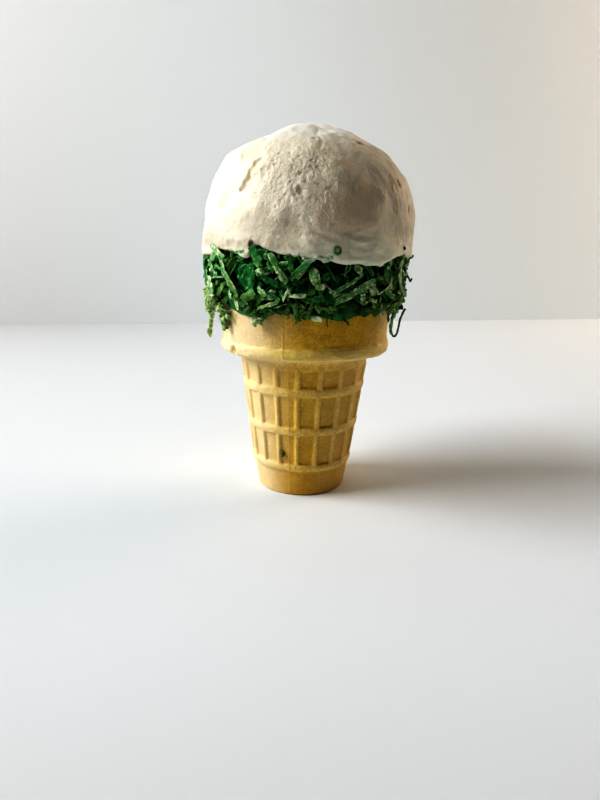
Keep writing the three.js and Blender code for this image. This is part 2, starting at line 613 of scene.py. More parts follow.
    def shrink(self, test: Test, shares: Sequence[float], about: Sequence[float]) -> None:
        """Scales the points that a test takes, in edit mode, about a place."""
        self.pick(Part.POINTS, test)
        bpy.ops.transform.resize(value=shares, center_override=about)

    def fray(self, offset: float, seed: int) -> None:
        """Moves every point a little at random, in edit mode."""
        select_mesh()
        bpy.ops.transform.vertex_random(offset=offset, seed=seed)

    def modify(self, kind: str, **settings: object) -> None:
        """Adds a modifier and applies it.

        Args:
            kind: The modifier's type.
            settings: Its properties.
        """
        self.take()
        modifier = self.thing.modifiers.new(kind.lower(), kind)
        for name, value in settings.items():
            setattr(modifier, name, value)
        bpy.ops.object.modifier_apply(modifier=modifier.name)

    def refine(self, levels: int = 1) -> None:
        """Applies a Subdivision Surface."""
        self.modify("SUBSURF", levels=levels, render_levels=levels, use_limit_surface=False)

    def places(self) -> Places:
        """Reads all points.

        Returns:
            Rows of x, y and z.
        """
        flat = np.empty(len(self.thing.data.vertices) * 3)
        self.thing.data.vertices.foreach_get("co", flat)
        return flat.reshape(-1, 3)

    def note(self, name: str, values: np.ndarray | float) -> None:
        """Writes a number for each point into the mesh, for the finish to read."""
        held = self.thing.data.attributes.new(name, "FLOAT", "POINT")
        held.data.foreach_set("value", np.ones(len(self.thing.data.vertices)) * values)

    def push(self, weigh: Weigh | None, distance: float, along: str = "NORMAL", **extra: object) -> None:
        """Moves the surface by a Displace modifier, weighed point by point.

        Args:
            weigh: Gives each point's share of the move, 0 to 1; None moves all alike.
            distance: The move, in millimetres.
            along: NORMAL, X, Y or Z.
            extra: More of the modifier's settings.
        """
        settings = {"direction": along, "strength": distance, "mid_level": 0.0, **extra}
        if weigh is not None:
            group = self.thing.vertex_groups.new(name="share")
            shares = np.clip(weigh(self.places()), 0.0, 1.0)
            for index in np.flatnonzero(shares > 1e-3):
                group.add([int(index)], float(shares[index]), "REPLACE")
            settings["vertex_group"] = group.name
        self.modify("DISPLACE", **settings)
        self.thing.vertex_groups.clear()

    def press(self, weigh: Weigh | None, unevenness: Press, along: str = "NORMAL") -> None:
        """Presses unevenness into the surface.

        Args:
            weigh: Gives each point's share of it, 0 to 1; None presses it in all over.
            unevenness: Its kind and sizes.
            along: NORMAL, X, Y or Z.
        """
        kind, noise = unevenness.grain.value
        pattern = bpy.data.textures.new("grain", kind)
        pattern.noise_scale = unevenness.size
        if noise:
            pattern.noise_type = noise
            pattern.noise_depth = unevenness.layers
        settings = {"texture": pattern, "texture_coords": "LOCAL", "mid_level": unevenness.level}
        if unevenness.drawn is None:
            self.push(weigh, unevenness.depth, along, **settings)
            return
        guide = bpy.data.objects.new("guide", None)
        guide.scale = unevenness.drawn
        bpy.context.scene.collection.objects.link(guide)
        bpy.context.view_layer.update()
        settings.update(texture_coords="OBJECT", texture_coords_object=guide)
        self.push(weigh, unevenness.depth, along, **settings)
        bpy.data.objects.remove(guide)

    def hand_over(
        self, finish: Material, slot: str, node: str | None = None, crisp: float | None = None
    ) -> None:
        """Brings the piece to metres, dresses it and sets it on the frame.

        Args:
            finish: Its material.
            slot: Name of its material slot; not used.
            node: The CAD node that it stands for, if any.
            crisp: Angle in degrees past which an edge stays sharp; None leaves all smooth.
        """
        self.take()
        self.thing.scale = (MM, MM, MM)
        self.settle()
        if crisp is None:
            bpy.ops.object.shade_smooth()
        else:
            bpy.ops.object.shade_smooth_by_angle(angle=math.radians(crisp))
        self.thing.data.materials.clear()
        self.thing.data.materials.append(finish)
        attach(self.thing, "root")
        if node is not None:
            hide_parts(node)
        LOG.info("%s: %d faces", self.thing.name, len(self.thing.data.polygons))


# --- Wafer cup ---

@dataclass(frozen=True)
class WaferFinish:
    """Dry golden wafer, orange at the foot, paler on the band and bead, smudged on the collar; painted
    highlights on ribs, rings and bead, painted shade in panel corners, painted light at the left and
    right edge.
    """

    foot: Colour = (0.80, 0.50, 0.060)
    wall: Colour = (0.82, 0.55, 0.085)
    pale: Colour = (0.92, 0.69, 0.22)
    collar: Colour = (0.92, 0.59, 0.050)
    crest: Colour = (0.98, 0.75, 0.22)
    lip: Colour = (0.97, 0.82, 0.42)
    raised_highlight: Colour = (0.95, 0.74, 0.26)
    # Colour of the painted light on the left side and the right edge.
    light: Colour = (0.93, 0.80, 0.57)
    brown: Colour = (0.50, 0.25, 0.015)
    tint: Colour = (0.56, 0.19, 0.03)
    broken: Colour = (0.62, 0.42, 0.015)
    dark: Colour = (0.16, 0.07, 0.015)
    crumb: Vector = Vector((-5.7, -14.9, 12.2))
    raised_highlight_mottle: Mottle = Mottle(2.4, 0.30, 0.60, 0.40)
    smudges: Mottle = Mottle(5.5, 0.44, 0.70, detail=4.0, roughness=0.62, drawn=(1.0, 1.0, 2.4))
    patches: Mottle = Mottle(6.0, 0.42, 0.70, 0.20, 4.0, 0.65)
    speckle: Mottle = Mottle(0.9, 0.50, 0.75, 0.22, roughness=0.65)
    bleach: Mottle = Mottle(3.2, 0.52, 0.80, 0.30, roughness=0.60)
    crest_highlight_mottle: Mottle = Mottle(1.6, 0.30, 0.60, 0.50, roughness=0.60)
    hairs: Mottle = Mottle(0.55, 0.50, 0.72, 0.32, detail=2.0, drawn=(1.0, 1.0, 0.06))
    lines: Mottle = Mottle(0.6, 0.50, 0.72, 0.10, detail=2.0, drawn=(0.14, 0.14, 1.0))
    grain: Mottle = Mottle(0.75, 0.38, 0.62, roughness=0.60)
    pored: Mottle = Mottle(2.6, 0.42, 0.62)
    dark_mark: Mottle = Mottle(0.9, 0.30, 0.60, 0.70)
    crack: Mottle = Mottle(0.7, 0.25, 0.50, 0.30)
    relief_depth: float = 0.32

    def build(self, cup: "WaferCup") -> Material:
        """Makes the material.

        Args:
            cup: The cup, for the places of its zones.

        Returns:
            The material.
        """
        recipe = Recipe("baked_wafer", Specular_IOR_Level=0.5, Subsurface_Weight=0.12,
                        Subsurface_Radius=(1.0, 0.55, 0.2), Subsurface_Scale=0.002)
        height, radius = recipe.along("Z"), recipe.radius()
        above = height.step(cup.bead_height + 1.0, cup.collar_foot + 0.6)
        over_wall = radius - height * cup.taper - cup.base_radius
        proud = over_wall.step(-0.03, 0.24) * height.step(cup.band_low, cup.band_low - 0.5)
        over_panel = over_wall + cup.panel_depth * 0.7
        corner = over_panel.step(0.16, 0.02) * over_panel.step(-0.12, 0.02)
        under_collar = height.step(cup.collar_foot, cup.collar_foot - 0.3)
        on_bead = (radius - cup.bead_core).step(0.5, 1.0) * under_collar
        crest = on_bead * height.step(cup.bead_height - 0.6, cup.bead_height + 0.8)
        lip = cup.bead_height - cup.bead_up
        low_collar = above * (height.step(62.0, 49.0) * 0.38 + 0.10)
        hairs, lines = recipe.raw(self.hairs), recipe.raw(self.lines)
        pores = recipe.cells(0.5).step(0.24, 0.08) * recipe.mottled(self.pored)
        aside = recipe.along("X") / radius
        # Painted light: paler towards the lit left side and on the right edge, by X over the radius.
        painted_light_left = aside.step(-0.05, -0.85) * (1.0 - above) + aside.step(0.05, -0.7) * above
        painted_light_right_edge = aside.step(0.1, 0.8) * (1.0 - above) * 0.15 + aside.step(0.6, 0.95) * above * 0.25
        colour = recipe.layered(
            self.foot,
            (height.step(6.0, 26.0), self.wall),
            (height.step(cup.band_low - 1.0, cup.shelf_start), self.pale),
            (above, self.collar),
            # Painted highlight: the raised ribs and rings paler, broken up by a mottle.
            (proud * (recipe.mottled(self.raised_highlight_mottle) + 0.35), self.raised_highlight),
            # Painted shade: the corners of the sunk panels darker.
            (corner * 0.3, self.brown),
            (recipe.mottled(self.smudges) * low_collar, self.brown),
            (recipe.mottled(self.patches), self.brown),
            (recipe.mottled(self.speckle), self.brown),
            (recipe.mottled(self.bleach), self.pale),
            (on_bead * 0.35, self.pale),
            # Painted highlight: a bright yellow line along the top of the bead.
            (crest * (recipe.mottled(self.crest_highlight_mottle) + 0.5), self.crest),
            # Painted highlight: a pale line along the lower edge of the bead.
            (on_bead * height.step(lip + 1.0, lip + 0.4) * 0.7, self.lip),
            (self.hairs.cut(hairs) * above, self.brown),
            (self.lines.cut(lines), self.brown),
            (recipe.mottled(self.grain) * (above * 0.12 - on_bead * 0.16 + 0.28), self.brown),
            (pores * 0.35, self.brown),
            (recipe.spot(self.crumb, 2.0, 0.9) * recipe.mottled(self.dark_mark), self.tint),
            *((recipe.spot(speck, size, 0.7) * 0.65, self.dark) for speck, size in cup.specks),
            # Painted light on the left side and the right edge.
            (painted_light_left * (above * 0.16 + on_bead * 0.2 + 0.58) + painted_light_right_edge, self.light),
            (recipe.spot(cup.chip_place, 1.6, 0.4) * (recipe.mottled(self.crack) + 0.7), self.broken),
        )
        recipe.feed("Base Color", colour)
        recipe.feed("Roughness", recipe.noise(0.8, 2.0) * 0.24 + 0.38)
        uneven = recipe.noise(0.55, 3.0, 0.62) * 0.55 + recipe.noise(1.3, 2.0) * 0.45
        recipe.relief(uneven - pores * 0.6 - hairs * above * 0.2 + lines * 0.2, self.relief_depth)
        return recipe.material


@dataclass
class WaferCup:
    """The cup: foot, three rings joined by ribs, plain band, shelf, bead and collar."""

    base_radius: float = 14.03
    taper: float = 0.13
    rings: Outline = ((8.3, 10.5), (20.2, 22.6), (32.2, 34.8))
    ring_proud: float = 0.22
    foot_setback: float = 0.25
    ribs: int = 18
    rib_phase: float = -5.5
    rib_half: float = 2.5
    rib_side: float = 0.26
    rib_crown: float = 0.34
    panel_depth: float = 0.40
    panel_lead: float = 0.75
    band_low: float = 40.3
    shelf_start: float = 42.3
    bead_height: float = 45.5
    bead_core: float = 24.2
    bead_out: float = 1.45
    bead_up: float = 1.8
    bead_under: float = 1.15
    bead_over: float = 1.15
    collar_foot: float = 47.6
    collar_base: float = 24.95
    collar_flare: float = 0.65
    fillet: float = 0.28
    lean: float = 0.3
    seam: float = -13.5
    seam_proud: float = 0.13
    mould_slip: float = 0.04
    chip: tuple[float, float] = (-53.5, 45.1)
    chip_depth: float = 0.8
    chip_break: Press = Press(0.7, 0.8, Grain.CREASES)
    burr: float = 0.16
    swell: Press = Press(0.34, 5.0)
    ripple: Press = Press(0.13, 1.3)
    bead_folds: Press = Press(0.34, 1.3, drawn=(2.6, 2.6, 0.8))
    columns: int = 216

    @property
    def specks(self) -> tuple[tuple[Vector, float], ...]:
        """Dark specks on the wall, the collar and the bead.

        Returns:
            Pairs of a place and a size.
        """
        bead = self.bead_core + self.bead_out
        spots = (
            (-12.0, self.wall(23.0), 23.0, 0.45), (26.0, self.collar(49.5), 49.5, 0.3),
            (-4.0, self.collar(51.2), 51.2, 0.25), (-52.0, bead, 46.4, 0.5),
            (-38.0, self.wall(0.5), 0.4, 0.7), (-32.0, self.wall(0.5), 0.2, 0.5),
            (48.0, self.wall(9.0), 9.0, 0.45),
        )
        return tuple((on_ring(*place), size) for *place, size in spots)

    @property
    def chip_place(self) -> Vector:
        """The middle of the chip, on the bead's outside."""
        azimuth, height = self.chip
        return on_ring(azimuth, self.bead_core + self.bead_out, height)

    def wall(self, height: float) -> float:
        """Radius of the tapered wall at a height."""
        return self.base_radius + self.taper * height

    def collar(self, height: float) -> float:
        """Radius of the collar, which flares out above a small fillet at the bead.

        Args:
            height: Height of the place.

        Returns:
            The radius there.
        """
        below = self.collar_foot - height
        flare = self.collar_flare * (1.0 - math.exp(below / 6.0))
        return self.collar_base + flare + self.fillet * math.exp(below / 0.7)

    def profile(self, rim: float) -> list[tuple[float, float]]:
        """The outline from the base's middle, up the outside, to the rim's middle.

        Args:
            rim: Height of the rim.

        Returns:
            Pairs of radius and height.
        """
        foot_top = self.rings[0][0] - 0.25
        points = [(0.0, 0.0), (self.wall(0) - 0.7, 0.0), (self.wall(0) - 0.45, 0.12)]
        points += [(self.wall(z) - self.foot_setback, z) for z in np.linspace(0.5, foot_top, 7)]
        for number, (low, high) in enumerate(self.rings):
            points += [(self.wall(z) + self.ring_proud, z) for z in np.linspace(low, high, 4)]
            top = self.rings[number + 1][0] if number + 1 < len(self.rings) else self.band_low
            rows = round((top - high - 2 * self.panel_lead) / 1.1)
            levels = np.linspace(high + self.panel_lead, top - self.panel_lead, rows + 1)
            points += [(self.wall(z), z) for z in levels]
        points += [(self.wall(z), z) for z in (self.band_low, self.band_low + 1.0)]
        points += self.shelf_and_bead()
        points += [(self.collar(z), z) for z in (self.collar_foot, self.collar_foot + 0.5)]
        points += [(self.collar(z), z) for z in np.arange(self.collar_foot + 1.2, rim - 1.0, 1.2)]
        points += [(self.collar(rim), rim - 0.5), (self.collar(rim) - 0.5, rim), (0.0, rim)]
        return points

    def shelf_and_bead(self) -> list[tuple[float, float]]:
        """The outline's hollow under the bead, and the bead itself.

        Returns:
            Pairs of radius and height.
        """
        points = []
        start = self.wall(self.shelf_start)
        rise = self.bead_height - self.bead_up - self.shelf_start
        for turn in np.linspace(0.0, math.pi / 2, 6)[:-1]:
            reach = (self.bead_core - start) * (1.0 - math.cos(turn))
            points.append((start + reach, self.shelf_start + rise * math.sin(turn)))
        below, over = (self.bead_core, self.bead_under), (self.collar_base + self.fillet, self.bead_over)
        for turn in np.linspace(-math.pi / 2, math.pi / 2, 11):
            core, power = below if turn < 0 else over
            reach = (self.bead_core + self.bead_out - core) * max(math.cos(turn), 0.0) ** power
            points.append((core + reach, self.bead_height + self.bead_up * math.sin(turn)))
        return points

    def off_rib(self, azimuths: np.ndarray | float) -> np.ndarray | float:
        """Signed angle from the nearest rib's middle."""
        pitch = 360.0 / self.ribs
        return (azimuths - self.rib_phase + pitch / 2) % pitch - pitch / 2

    def build(self, finish: Material) -> None:
        """Models the cup.

        Args:
            finish: Its material.
        """
        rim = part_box("wafer_cup")[1][2] / MM
        cup = Workpiece.turned("baked_cup", self.profile(rim), self.columns)
        spans = [*self.rings, (self.band_low, rim)]
        panels = [(below[1], above[0]) for below, above in zip(spans, spans[1:])]

        def on_panel(middle: Vector) -> bool:
            """Whether a face is between the rings and between the ribs."""
            off = self.off_rib(math.degrees(math.atan2(middle.x, -middle.y)))
            return abs(off) > self.rib_half and any(low < middle.z < high for low, high in panels)

        column = 360.0 / self.columns
        shift = math.radians((self.rib_phase - column / 2) % column)
        with cup.editing(Part.FACES):
            select_mesh()
            bpy.ops.transform.rotate(value=-shift, orient_axis="Z", center_override=(0, 0, 0))
            cup.pick(Part.FACES, on_panel)
            bpy.ops.mesh.inset(thickness=self.rib_side, depth=-self.panel_depth, use_even_offset=True)
        cup.push(self.crowned, self.rib_crown)
        cup.refine()
        self.age(cup)
        cup.hand_over(finish, "wafer", "wafer_cup")

    def crowned(self, places: Places) -> np.ndarray:
        """Finds the middle of each rib and each ring, for their rounded faces.

        Args:
            places: Rows of x, y and z.

        Returns:
            1 along the middles, 0 beside them.
        """
        height = places[:, 2]
        outside = radius_of(places) > self.wall(height) - 0.1
        on_rib = np.abs(self.off_rib(azimuth_of(places))) < self.rib_half / 2
        share = (on_rib & (height > self.rings[0][1]) & (height < self.band_low)) * 1.0
        for low, high in self.rings:
            reach = (high - low) / 2
            round_ring = smooth_step(np.abs(height - low - reach), reach, 0.0)
            share = np.where((height > low - 0.1) & (height < high + 0.1), round_ring, share)
        return share * outside

    def age(self, cup: Workpiece) -> None:
        """Raises the seam, slips one mould half, adds burrs and a chip, and roughens the surface.

        Args:
            cup: The refined cup.
        """
        def on_seam(places: Places) -> np.ndarray:
            """The thin line that the two halves of the baking mould leave, front and back."""
            off = (azimuth_of(places) - self.seam + 90.0) % 180.0 - 90.0
            return (np.abs(off) < 90.0 / self.columns) * smooth_step(places[:, 2], 0.3, 1.0)

        def slipped(places: Places) -> np.ndarray:
            """The half that lies to the right of the seam, above its foot."""
            off = turn_between(azimuth_of(places), self.seam + 90.0)
            return (np.abs(off) < 90.0) * smooth_step(places[:, 2], 0.5, 3.0)

        def burrs(places: Places) -> np.ndarray:
            """Small lumps where the seam crosses the rings."""
            return sum(near(places, on_ring(azimuth, self.wall(low), low + 0.7), 0.9, 0.2)
                       for low, _ in self.rings for azimuth in (self.seam, self.seam + 180.0))

        def chipped(places: Places) -> np.ndarray:
            """The break in the bead."""
            return near(places, self.chip_place, 1.9, 0.7)

        def free(places: Places) -> np.ndarray:
            """All but the flat base."""
            return smooth_step(places[:, 2], 0.05, 1.5)

        def beaded(places: Places) -> np.ndarray:
            """The bead and the shelf below it."""
            return between(places[:, 2], 41.5, 43.5, 47.0, 48.6)

        def leaning(places: Places) -> np.ndarray:
            """All that rises from the foot, for the cup's slight lean to the right."""
            return smooth_step(places[:, 2], 4.0, 48.0)

        cup.push(on_seam, self.seam_proud)
        cup.push(slipped, -self.mould_slip, "Z")
        cup.push(burrs, self.burr)
        cup.push(chipped, -self.chip_depth)
        cup.press(chipped, self.chip_break)
        cup.press(free, self.swell)
        cup.press(free, self.ripple)
        cup.press(beaded, self.bead_folds)
        cup.push(leaning, self.lean, "X")


# --- Green candy coat ---

@dataclass(frozen=True)
class CandyFinish:
    """Glossy dark green melted candy, with painted light: paler and greener towards the left."""

    deep: Colour = (0.001, 0.085, 0.005)
    bright: Colour = (0.004, 0.175, 0.014)
    lit: Colour = (0.014, 0.250, 0.050)
    clouds: Mottle = Mottle(3.0, 0.35, 0.70)

    def build(self, name: str, shine: float = 0.28) -> Material:
        """Makes the material.

        Args:
            name: Its name.
            shine: Its roughness.

        Returns:
            The material.
        """
        recipe = Recipe(name, Roughness=shine, Specular_IOR_Level=0.35, Coat_Weight=0.1,
                        Coat_Roughness=0.12)
        # Painted light: the lit colour towards the left, the window side.
        left = recipe.along("X").step(-8.0, -20.0) * 0.7
        recipe.feed("Base Color", recipe.layered(
            self.deep, (recipe.mottled(self.clouds), self.bright), (left, self.lit)))
        recipe.relief(recipe.noise(1.6, 3.0, 0.55), 0.35)
        return recipe.material


BARE_SPOTS = (
    (-59.5, 62.2, 1.5), (-54.5, 61.2, 2.1), (-49.0, 59.9, 2.5), (-43.5, 58.5, 2.5), (-37.5, 57.4, 2.3),
    (-31.5, 56.4, 1.6), (21.5, 57.0, 1.8), (26.5, 58.3, 2.7), (31.5, 58.6, 2.3),
)


def bare_share(places: Places) -> np.ndarray:
    """1 where the candy shows between the shreds, 0 away from there.

    Args:
        places: Rows of x, y and z.

    Returns:
        The shares.
    """
    share = np.zeros(len(places))
    for azimuth, height, radius in BARE_SPOTS:
        bare = near(places, on_ring(azimuth, 27.0, height), radius + 1.2, radius * 0.5)
        share = np.maximum(share, bare)
    return share


@dataclass
class CandyCoat:
    """The ring of green candy that the collar was dipped in, with its wavy lower edge."""

    inner: float = 24.4
    lip: float = 25.75
    outer: float = 26.5
    top: float = 73.4
    lowest: float = 54.6
    bulges: Press = Press(0.7, 3.2)
    dimples: Press = Press(0.3, 1.2)
    bare_swell: float = 0.8
    aside: float = 0.3
    columns: int = 160
    edge: Outline = (
        (-180, 56.4), (-165, 57.3), (-148, 55.6), (-130, 56.8), (-112, 55.4), (-95, 57.0), (-78, 56.2),
        (-64, 57.7), (-54, 56.6), (-39, 55.6), (-28, 56.2), (-19, 57.5), (-10, 56.8), (-1.5, 55.5),
        (12, 55.7), (22, 54.8), (33, 56.4), (42, 57.2), (52, 55.7), (66, 56.4), (80, 55.3), (97, 57.2),
        (115, 56.0), (132, 57.4), (150, 55.5), (166, 56.9), (180, 56.4),
    )

    def build(self, finish: Material) -> None:
        """Models the coat.

        Args:
            finish: Its material.
        """
        low = self.lowest
        rise = self.outer - self.lip
        profile = [(self.inner, low + 0.4), (self.lip - 0.5, low), (self.lip, low + 0.5)]
        profile += [(self.lip + rise * t, low + 1.2 + 6.0 * t) for t in np.linspace(0.1, 1.0, 7)]
        profile += [(self.outer, z) for z in np.linspace(63.5, self.top, 9)]
        profile += [(self.inner, self.top)]
        profile += [(self.inner, z) for z in np.linspace(70.0, 57.5, 5)]
        coat = Workpiece.turned("candy_dip", [*profile, profile[0]], self.columns)
        span = max(height for _, height in self.edge) - low

        def raised(places: Places) -> np.ndarray:
            """How far the lower edge is drawn up, fading into the wall."""
            share = (edge_height(places, self.edge) - low) / span
            return share * smooth_step(places[:, 2], low + 7.0, low + 1.0)

        coat.push(raised, span, "Z")
        coat.refine()
        coat.press(None, self.bulges)
        coat.press(None, self.dimples)
        coat.push(bare_share, self.bare_swell)
        coat.push(None, self.aside, "X")
        coat.hand_over(finish, "candy", "candy_coat")


# --- Shredded coconut ---

@dataclass(frozen=True)
class Cut:
    """One way that the grater cuts a shred, in millimetres and degrees.

    It lies along X with its width along Z and its outer face towards -Y.
    """

    name: str
    length: float
    width: float
    thick: float = 0.34
    bend: float = 30.0
    twist: float = 20.0
    cup: float = 45.0
    ragged: float = 0.12
    point: float = 0.5
    slant: float = 35.0
    rows: int = 8

    def shape(self, seed: int) -> tuple[Places, np.ndarray]:
        """Models the shred by hand tools.

        Args:
            seed: Seed of its uneven outline.

        Returns:
            Its points and its faces.
        """
        shred = Workpiece.sheet(self.name, self.rows, 2)
        with shred.editing():
            select_mesh()
            bpy.ops.transform.resize(value=(self.length, 1.0, self.width), center_override=(0, 0, 0))
            for reach, share in ((0.3, 0.5 + self.point / 2), (0.42, self.point)):
                shred.shrink(lambda p: abs(p.x) > reach * self.length, (1, 1, share), (0, 0, 0))
            for side in (-1.0, 1.0):
                shred.pick(Part.POINTS, lambda p: p.x * side > 0.45 * self.length)
                slant = math.radians(self.slant) * math.cos(seed * 2.4 + side)
                tip = (side * self.length / 2, 0.0, 0.0)
                bpy.ops.transform.rotate(value=slant, orient_axis="Y", center_override=tip)
            shred.fray(self.ragged, seed)
        shred.modify("SOLIDIFY", thickness=self.thick, offset=0.0)
        turns = (("TWIST", "X", self.twist), ("BEND", "X", self.cup), ("BEND", "Z", self.bend))
        for method, axis, angle in turns:
            if angle:
                turn = {"deform_method": method, "deform_axis": axis, "angle": math.radians(angle)}
                shred.modify("SIMPLE_DEFORM", **turn)
        places = shred.places()
        faces = np.array([tuple(face.vertices) for face in shred.thing.data.polygons])
        bpy.data.objects.remove(shred.thing)
        return places, faces


RIBBON = Cut("ribbon", 9.0, 1.5, thick=0.46, cup=60.0, ragged=0.26, point=0.8, rows=9)
STRAP = Cut("strap", 7.0, 2.1, thick=0.5, bend=-25.0, twist=-15.0, cup=50.0, ragged=0.34, point=0.85)
LEAF = Cut("leaf", 4.2, 2.1, thick=0.5, bend=30.0, cup=65.0, ragged=0.40, point=0.7, slant=30.0, rows=6)
CHIP = Cut("chip", 2.4, 1.3, thick=0.5, bend=30.0, cup=50.0, ragged=0.32, point=0.85, slant=22.0, rows=4)
THREAD = Cut("thread", 9.0, 0.5, thick=0.36, bend=85.0, twist=80.0, cup=0.0, ragged=0.14, rows=10)
HOOK = Cut("hook", 7.0, 0.9, bend=190.0, twist=30.0, cup=30.0, ragged=0.18, rows=10)


@dataclass(frozen=True)
class Laid:
    """A listed shred, from the azimuth and height of one end to those of the other."""

    start: tuple[float, float]
    end: tuple[float, float]
    width: float
    tint: float
    cut: Cut = RIBBON
    lift: float = 0.0
    tilt: float = 0.0


LAID_SHREDS = [Laid(*row) for row in (
    ((-59, 74.6), (-46, 71.3), 1.3, 0.80, RIBBON, 0.5), ((-57, 73.0), (-45, 70.2), 1.0, 0.62),
    ((-50, 70.6), (-36, 61.4), 1.4, 0.66, RIBBON, 0.3), ((-45, 66.6), (-40, 62.3), 0.8, 0.72, THREAD),
    ((-63, 70.4), (-55, 66.3), 1.1, 0.76), ((-61, 65.6), (-46, 66.2), 0.5, 0.74, THREAD, 0.4),
    ((-62, 66.0), (-56.5, 61.8), 2.4, 0.84, LEAF, 0.6), ((-54, 68.8), (-47, 67.6), 0.9, 0.66),
    ((-27.5, 74.3), (-22, 69.3), 2.1, 0.50, STRAP, 0.2),
    ((-17.5, 72.6), (-14, 69.4), 1.6, 0.76, LEAF, 0.3), ((-19, 70.6), (-15.5, 68.0), 1.2, 0.60, LEAF),
    ((-14.5, 69.8), (-8.8, 65.3), 1.5, 0.82, RIBBON, 0.5),
    ((-6.8, 66.8), (1.8, 71.2), 1.5, 0.60, STRAP, 0.3),
    ((3.2, 69.0), (5.8, 64.6), 2.3, 0.80, LEAF, 0.3), ((5.2, 64.3), (9.4, 64.9), 1.4, 0.86, CHIP, 0.4),
    ((13.0, 62.8), (30.5, 67.8), 1.0, 0.73, RIBBON, 0.2),
    ((14.5, 60.6), (37.0, 66.4), 1.7, 0.76, RIBBON, 0.6),
    ((34.0, 64.8), (39.0, 62.2), 2.3, 0.78, LEAF, 0.3),
    ((41.5, 61.8), (53.5, 67.8), 0.7, 0.92, THREAD, 0.5),
    ((56.0, 68.6), (63.5, 62.0), 2.1, 0.82, STRAP, 0.6),
    ((57.0, 68.8), (62.5, 74.4), 1.0, 0.86, RIBBON, 0.8),
    ((29.5, 62.8), (31.0, 59.8), 1.4, 0.84, STRAP, 0.3),
    ((32.5, 61.4), (42.5, 60.4), 0.9, 0.80, HOOK, 0.5), ((38.0, 60.9), (39.2, 58.8), 1.0, 0.62, CHIP),
    ((-33.0, 60.6), (-25.5, 63.0), 2.1, 0.56, STRAP, 0.3),
    ((-23.5, 63.9), (-19.5, 62.0), 1.3, 0.80, CHIP, 0.4),
    ((-25.5, 58.4), (-13.5, 60.4), 0.9, 0.72, RIBBON, 0.3),
    ((-11.5, 60.2), (-8.0, 64.2), 0.6, 0.88, THREAD, 0.5),
    ((-8.3, 64.2), (-7.0, 62.4), 0.6, 0.88, THREAD, 0.5),
    ((-8.5, 62.2), (0.5, 62.3), 1.0, 0.84, RIBBON, 0.5),
    ((-5.5, 60.4), (-2.8, 55.7), 1.4, 0.52, STRAP, 0.1),
    ((2.8, 56.3), (9.4, 56.1), 1.35, 1.05, LEAF, -0.3, 32.0),
    ((-42.6, 60.4), (-40.4, 57.6), 1.5, 0.86, CHIP, -1.6),
    ((-46.5, 62.2), (-44.6, 60.2), 1.3, 0.80, CHIP, -1.4),
    ((-27.6, 68.6), (-24.6, 67.2), 0.9, 0.62, HOOK, 0.4),
    ((-25.2, 66.8), (-22.0, 67.8), 0.8, 0.68, HOOK, 0.5),
    ((-28.4, 66.2), (-26.6, 64.6), 1.0, 0.58, CHIP, 0.4),
    ((-23.6, 69.6), (-20.8, 68.4), 0.9, 0.64, CHIP, 0.3),
    ((-20.8, 67.0), (-18.6, 65.4), 0.9, 0.60, HOOK, 0.3),
    ((21.5, 56.2), (28.0, 53.9), 0.45, 0.42, THREAD, -0.9),
    ((24.5, 69.9), (28.5, 68.3), 1.7, 0.90, LEAF, 0.3),
    ((9.0, 59.2), (16.5, 58.9), 0.9, 0.72, RIBBON, 0.2), ((-8.5, 72.2), (-6.5, 68.6), 1.6, 0.34, STRAP),
    ((-3.5, 72.4), (0.5, 70.0), 1.4, 0.44, STRAP), ((-22.5, 66.8), (-12.0, 64.8), 1.6, 0.30, STRAP),
    ((5.0, 60.2), (8.2, 58.2), 1.5, 0.58, LEAF), ((-18.5, 62.8), (-12.5, 60.8), 1.1, 0.52, STRAP),
    ((31.0, 70.2), (37.0, 66.9), 1.2, 0.50), ((44.0, 69.6), (48.0, 64.6), 1.5, 0.42, STRAP),
    ((46.0, 63.4), (55.0, 61.2), 1.4, 0.60, STRAP),
)]


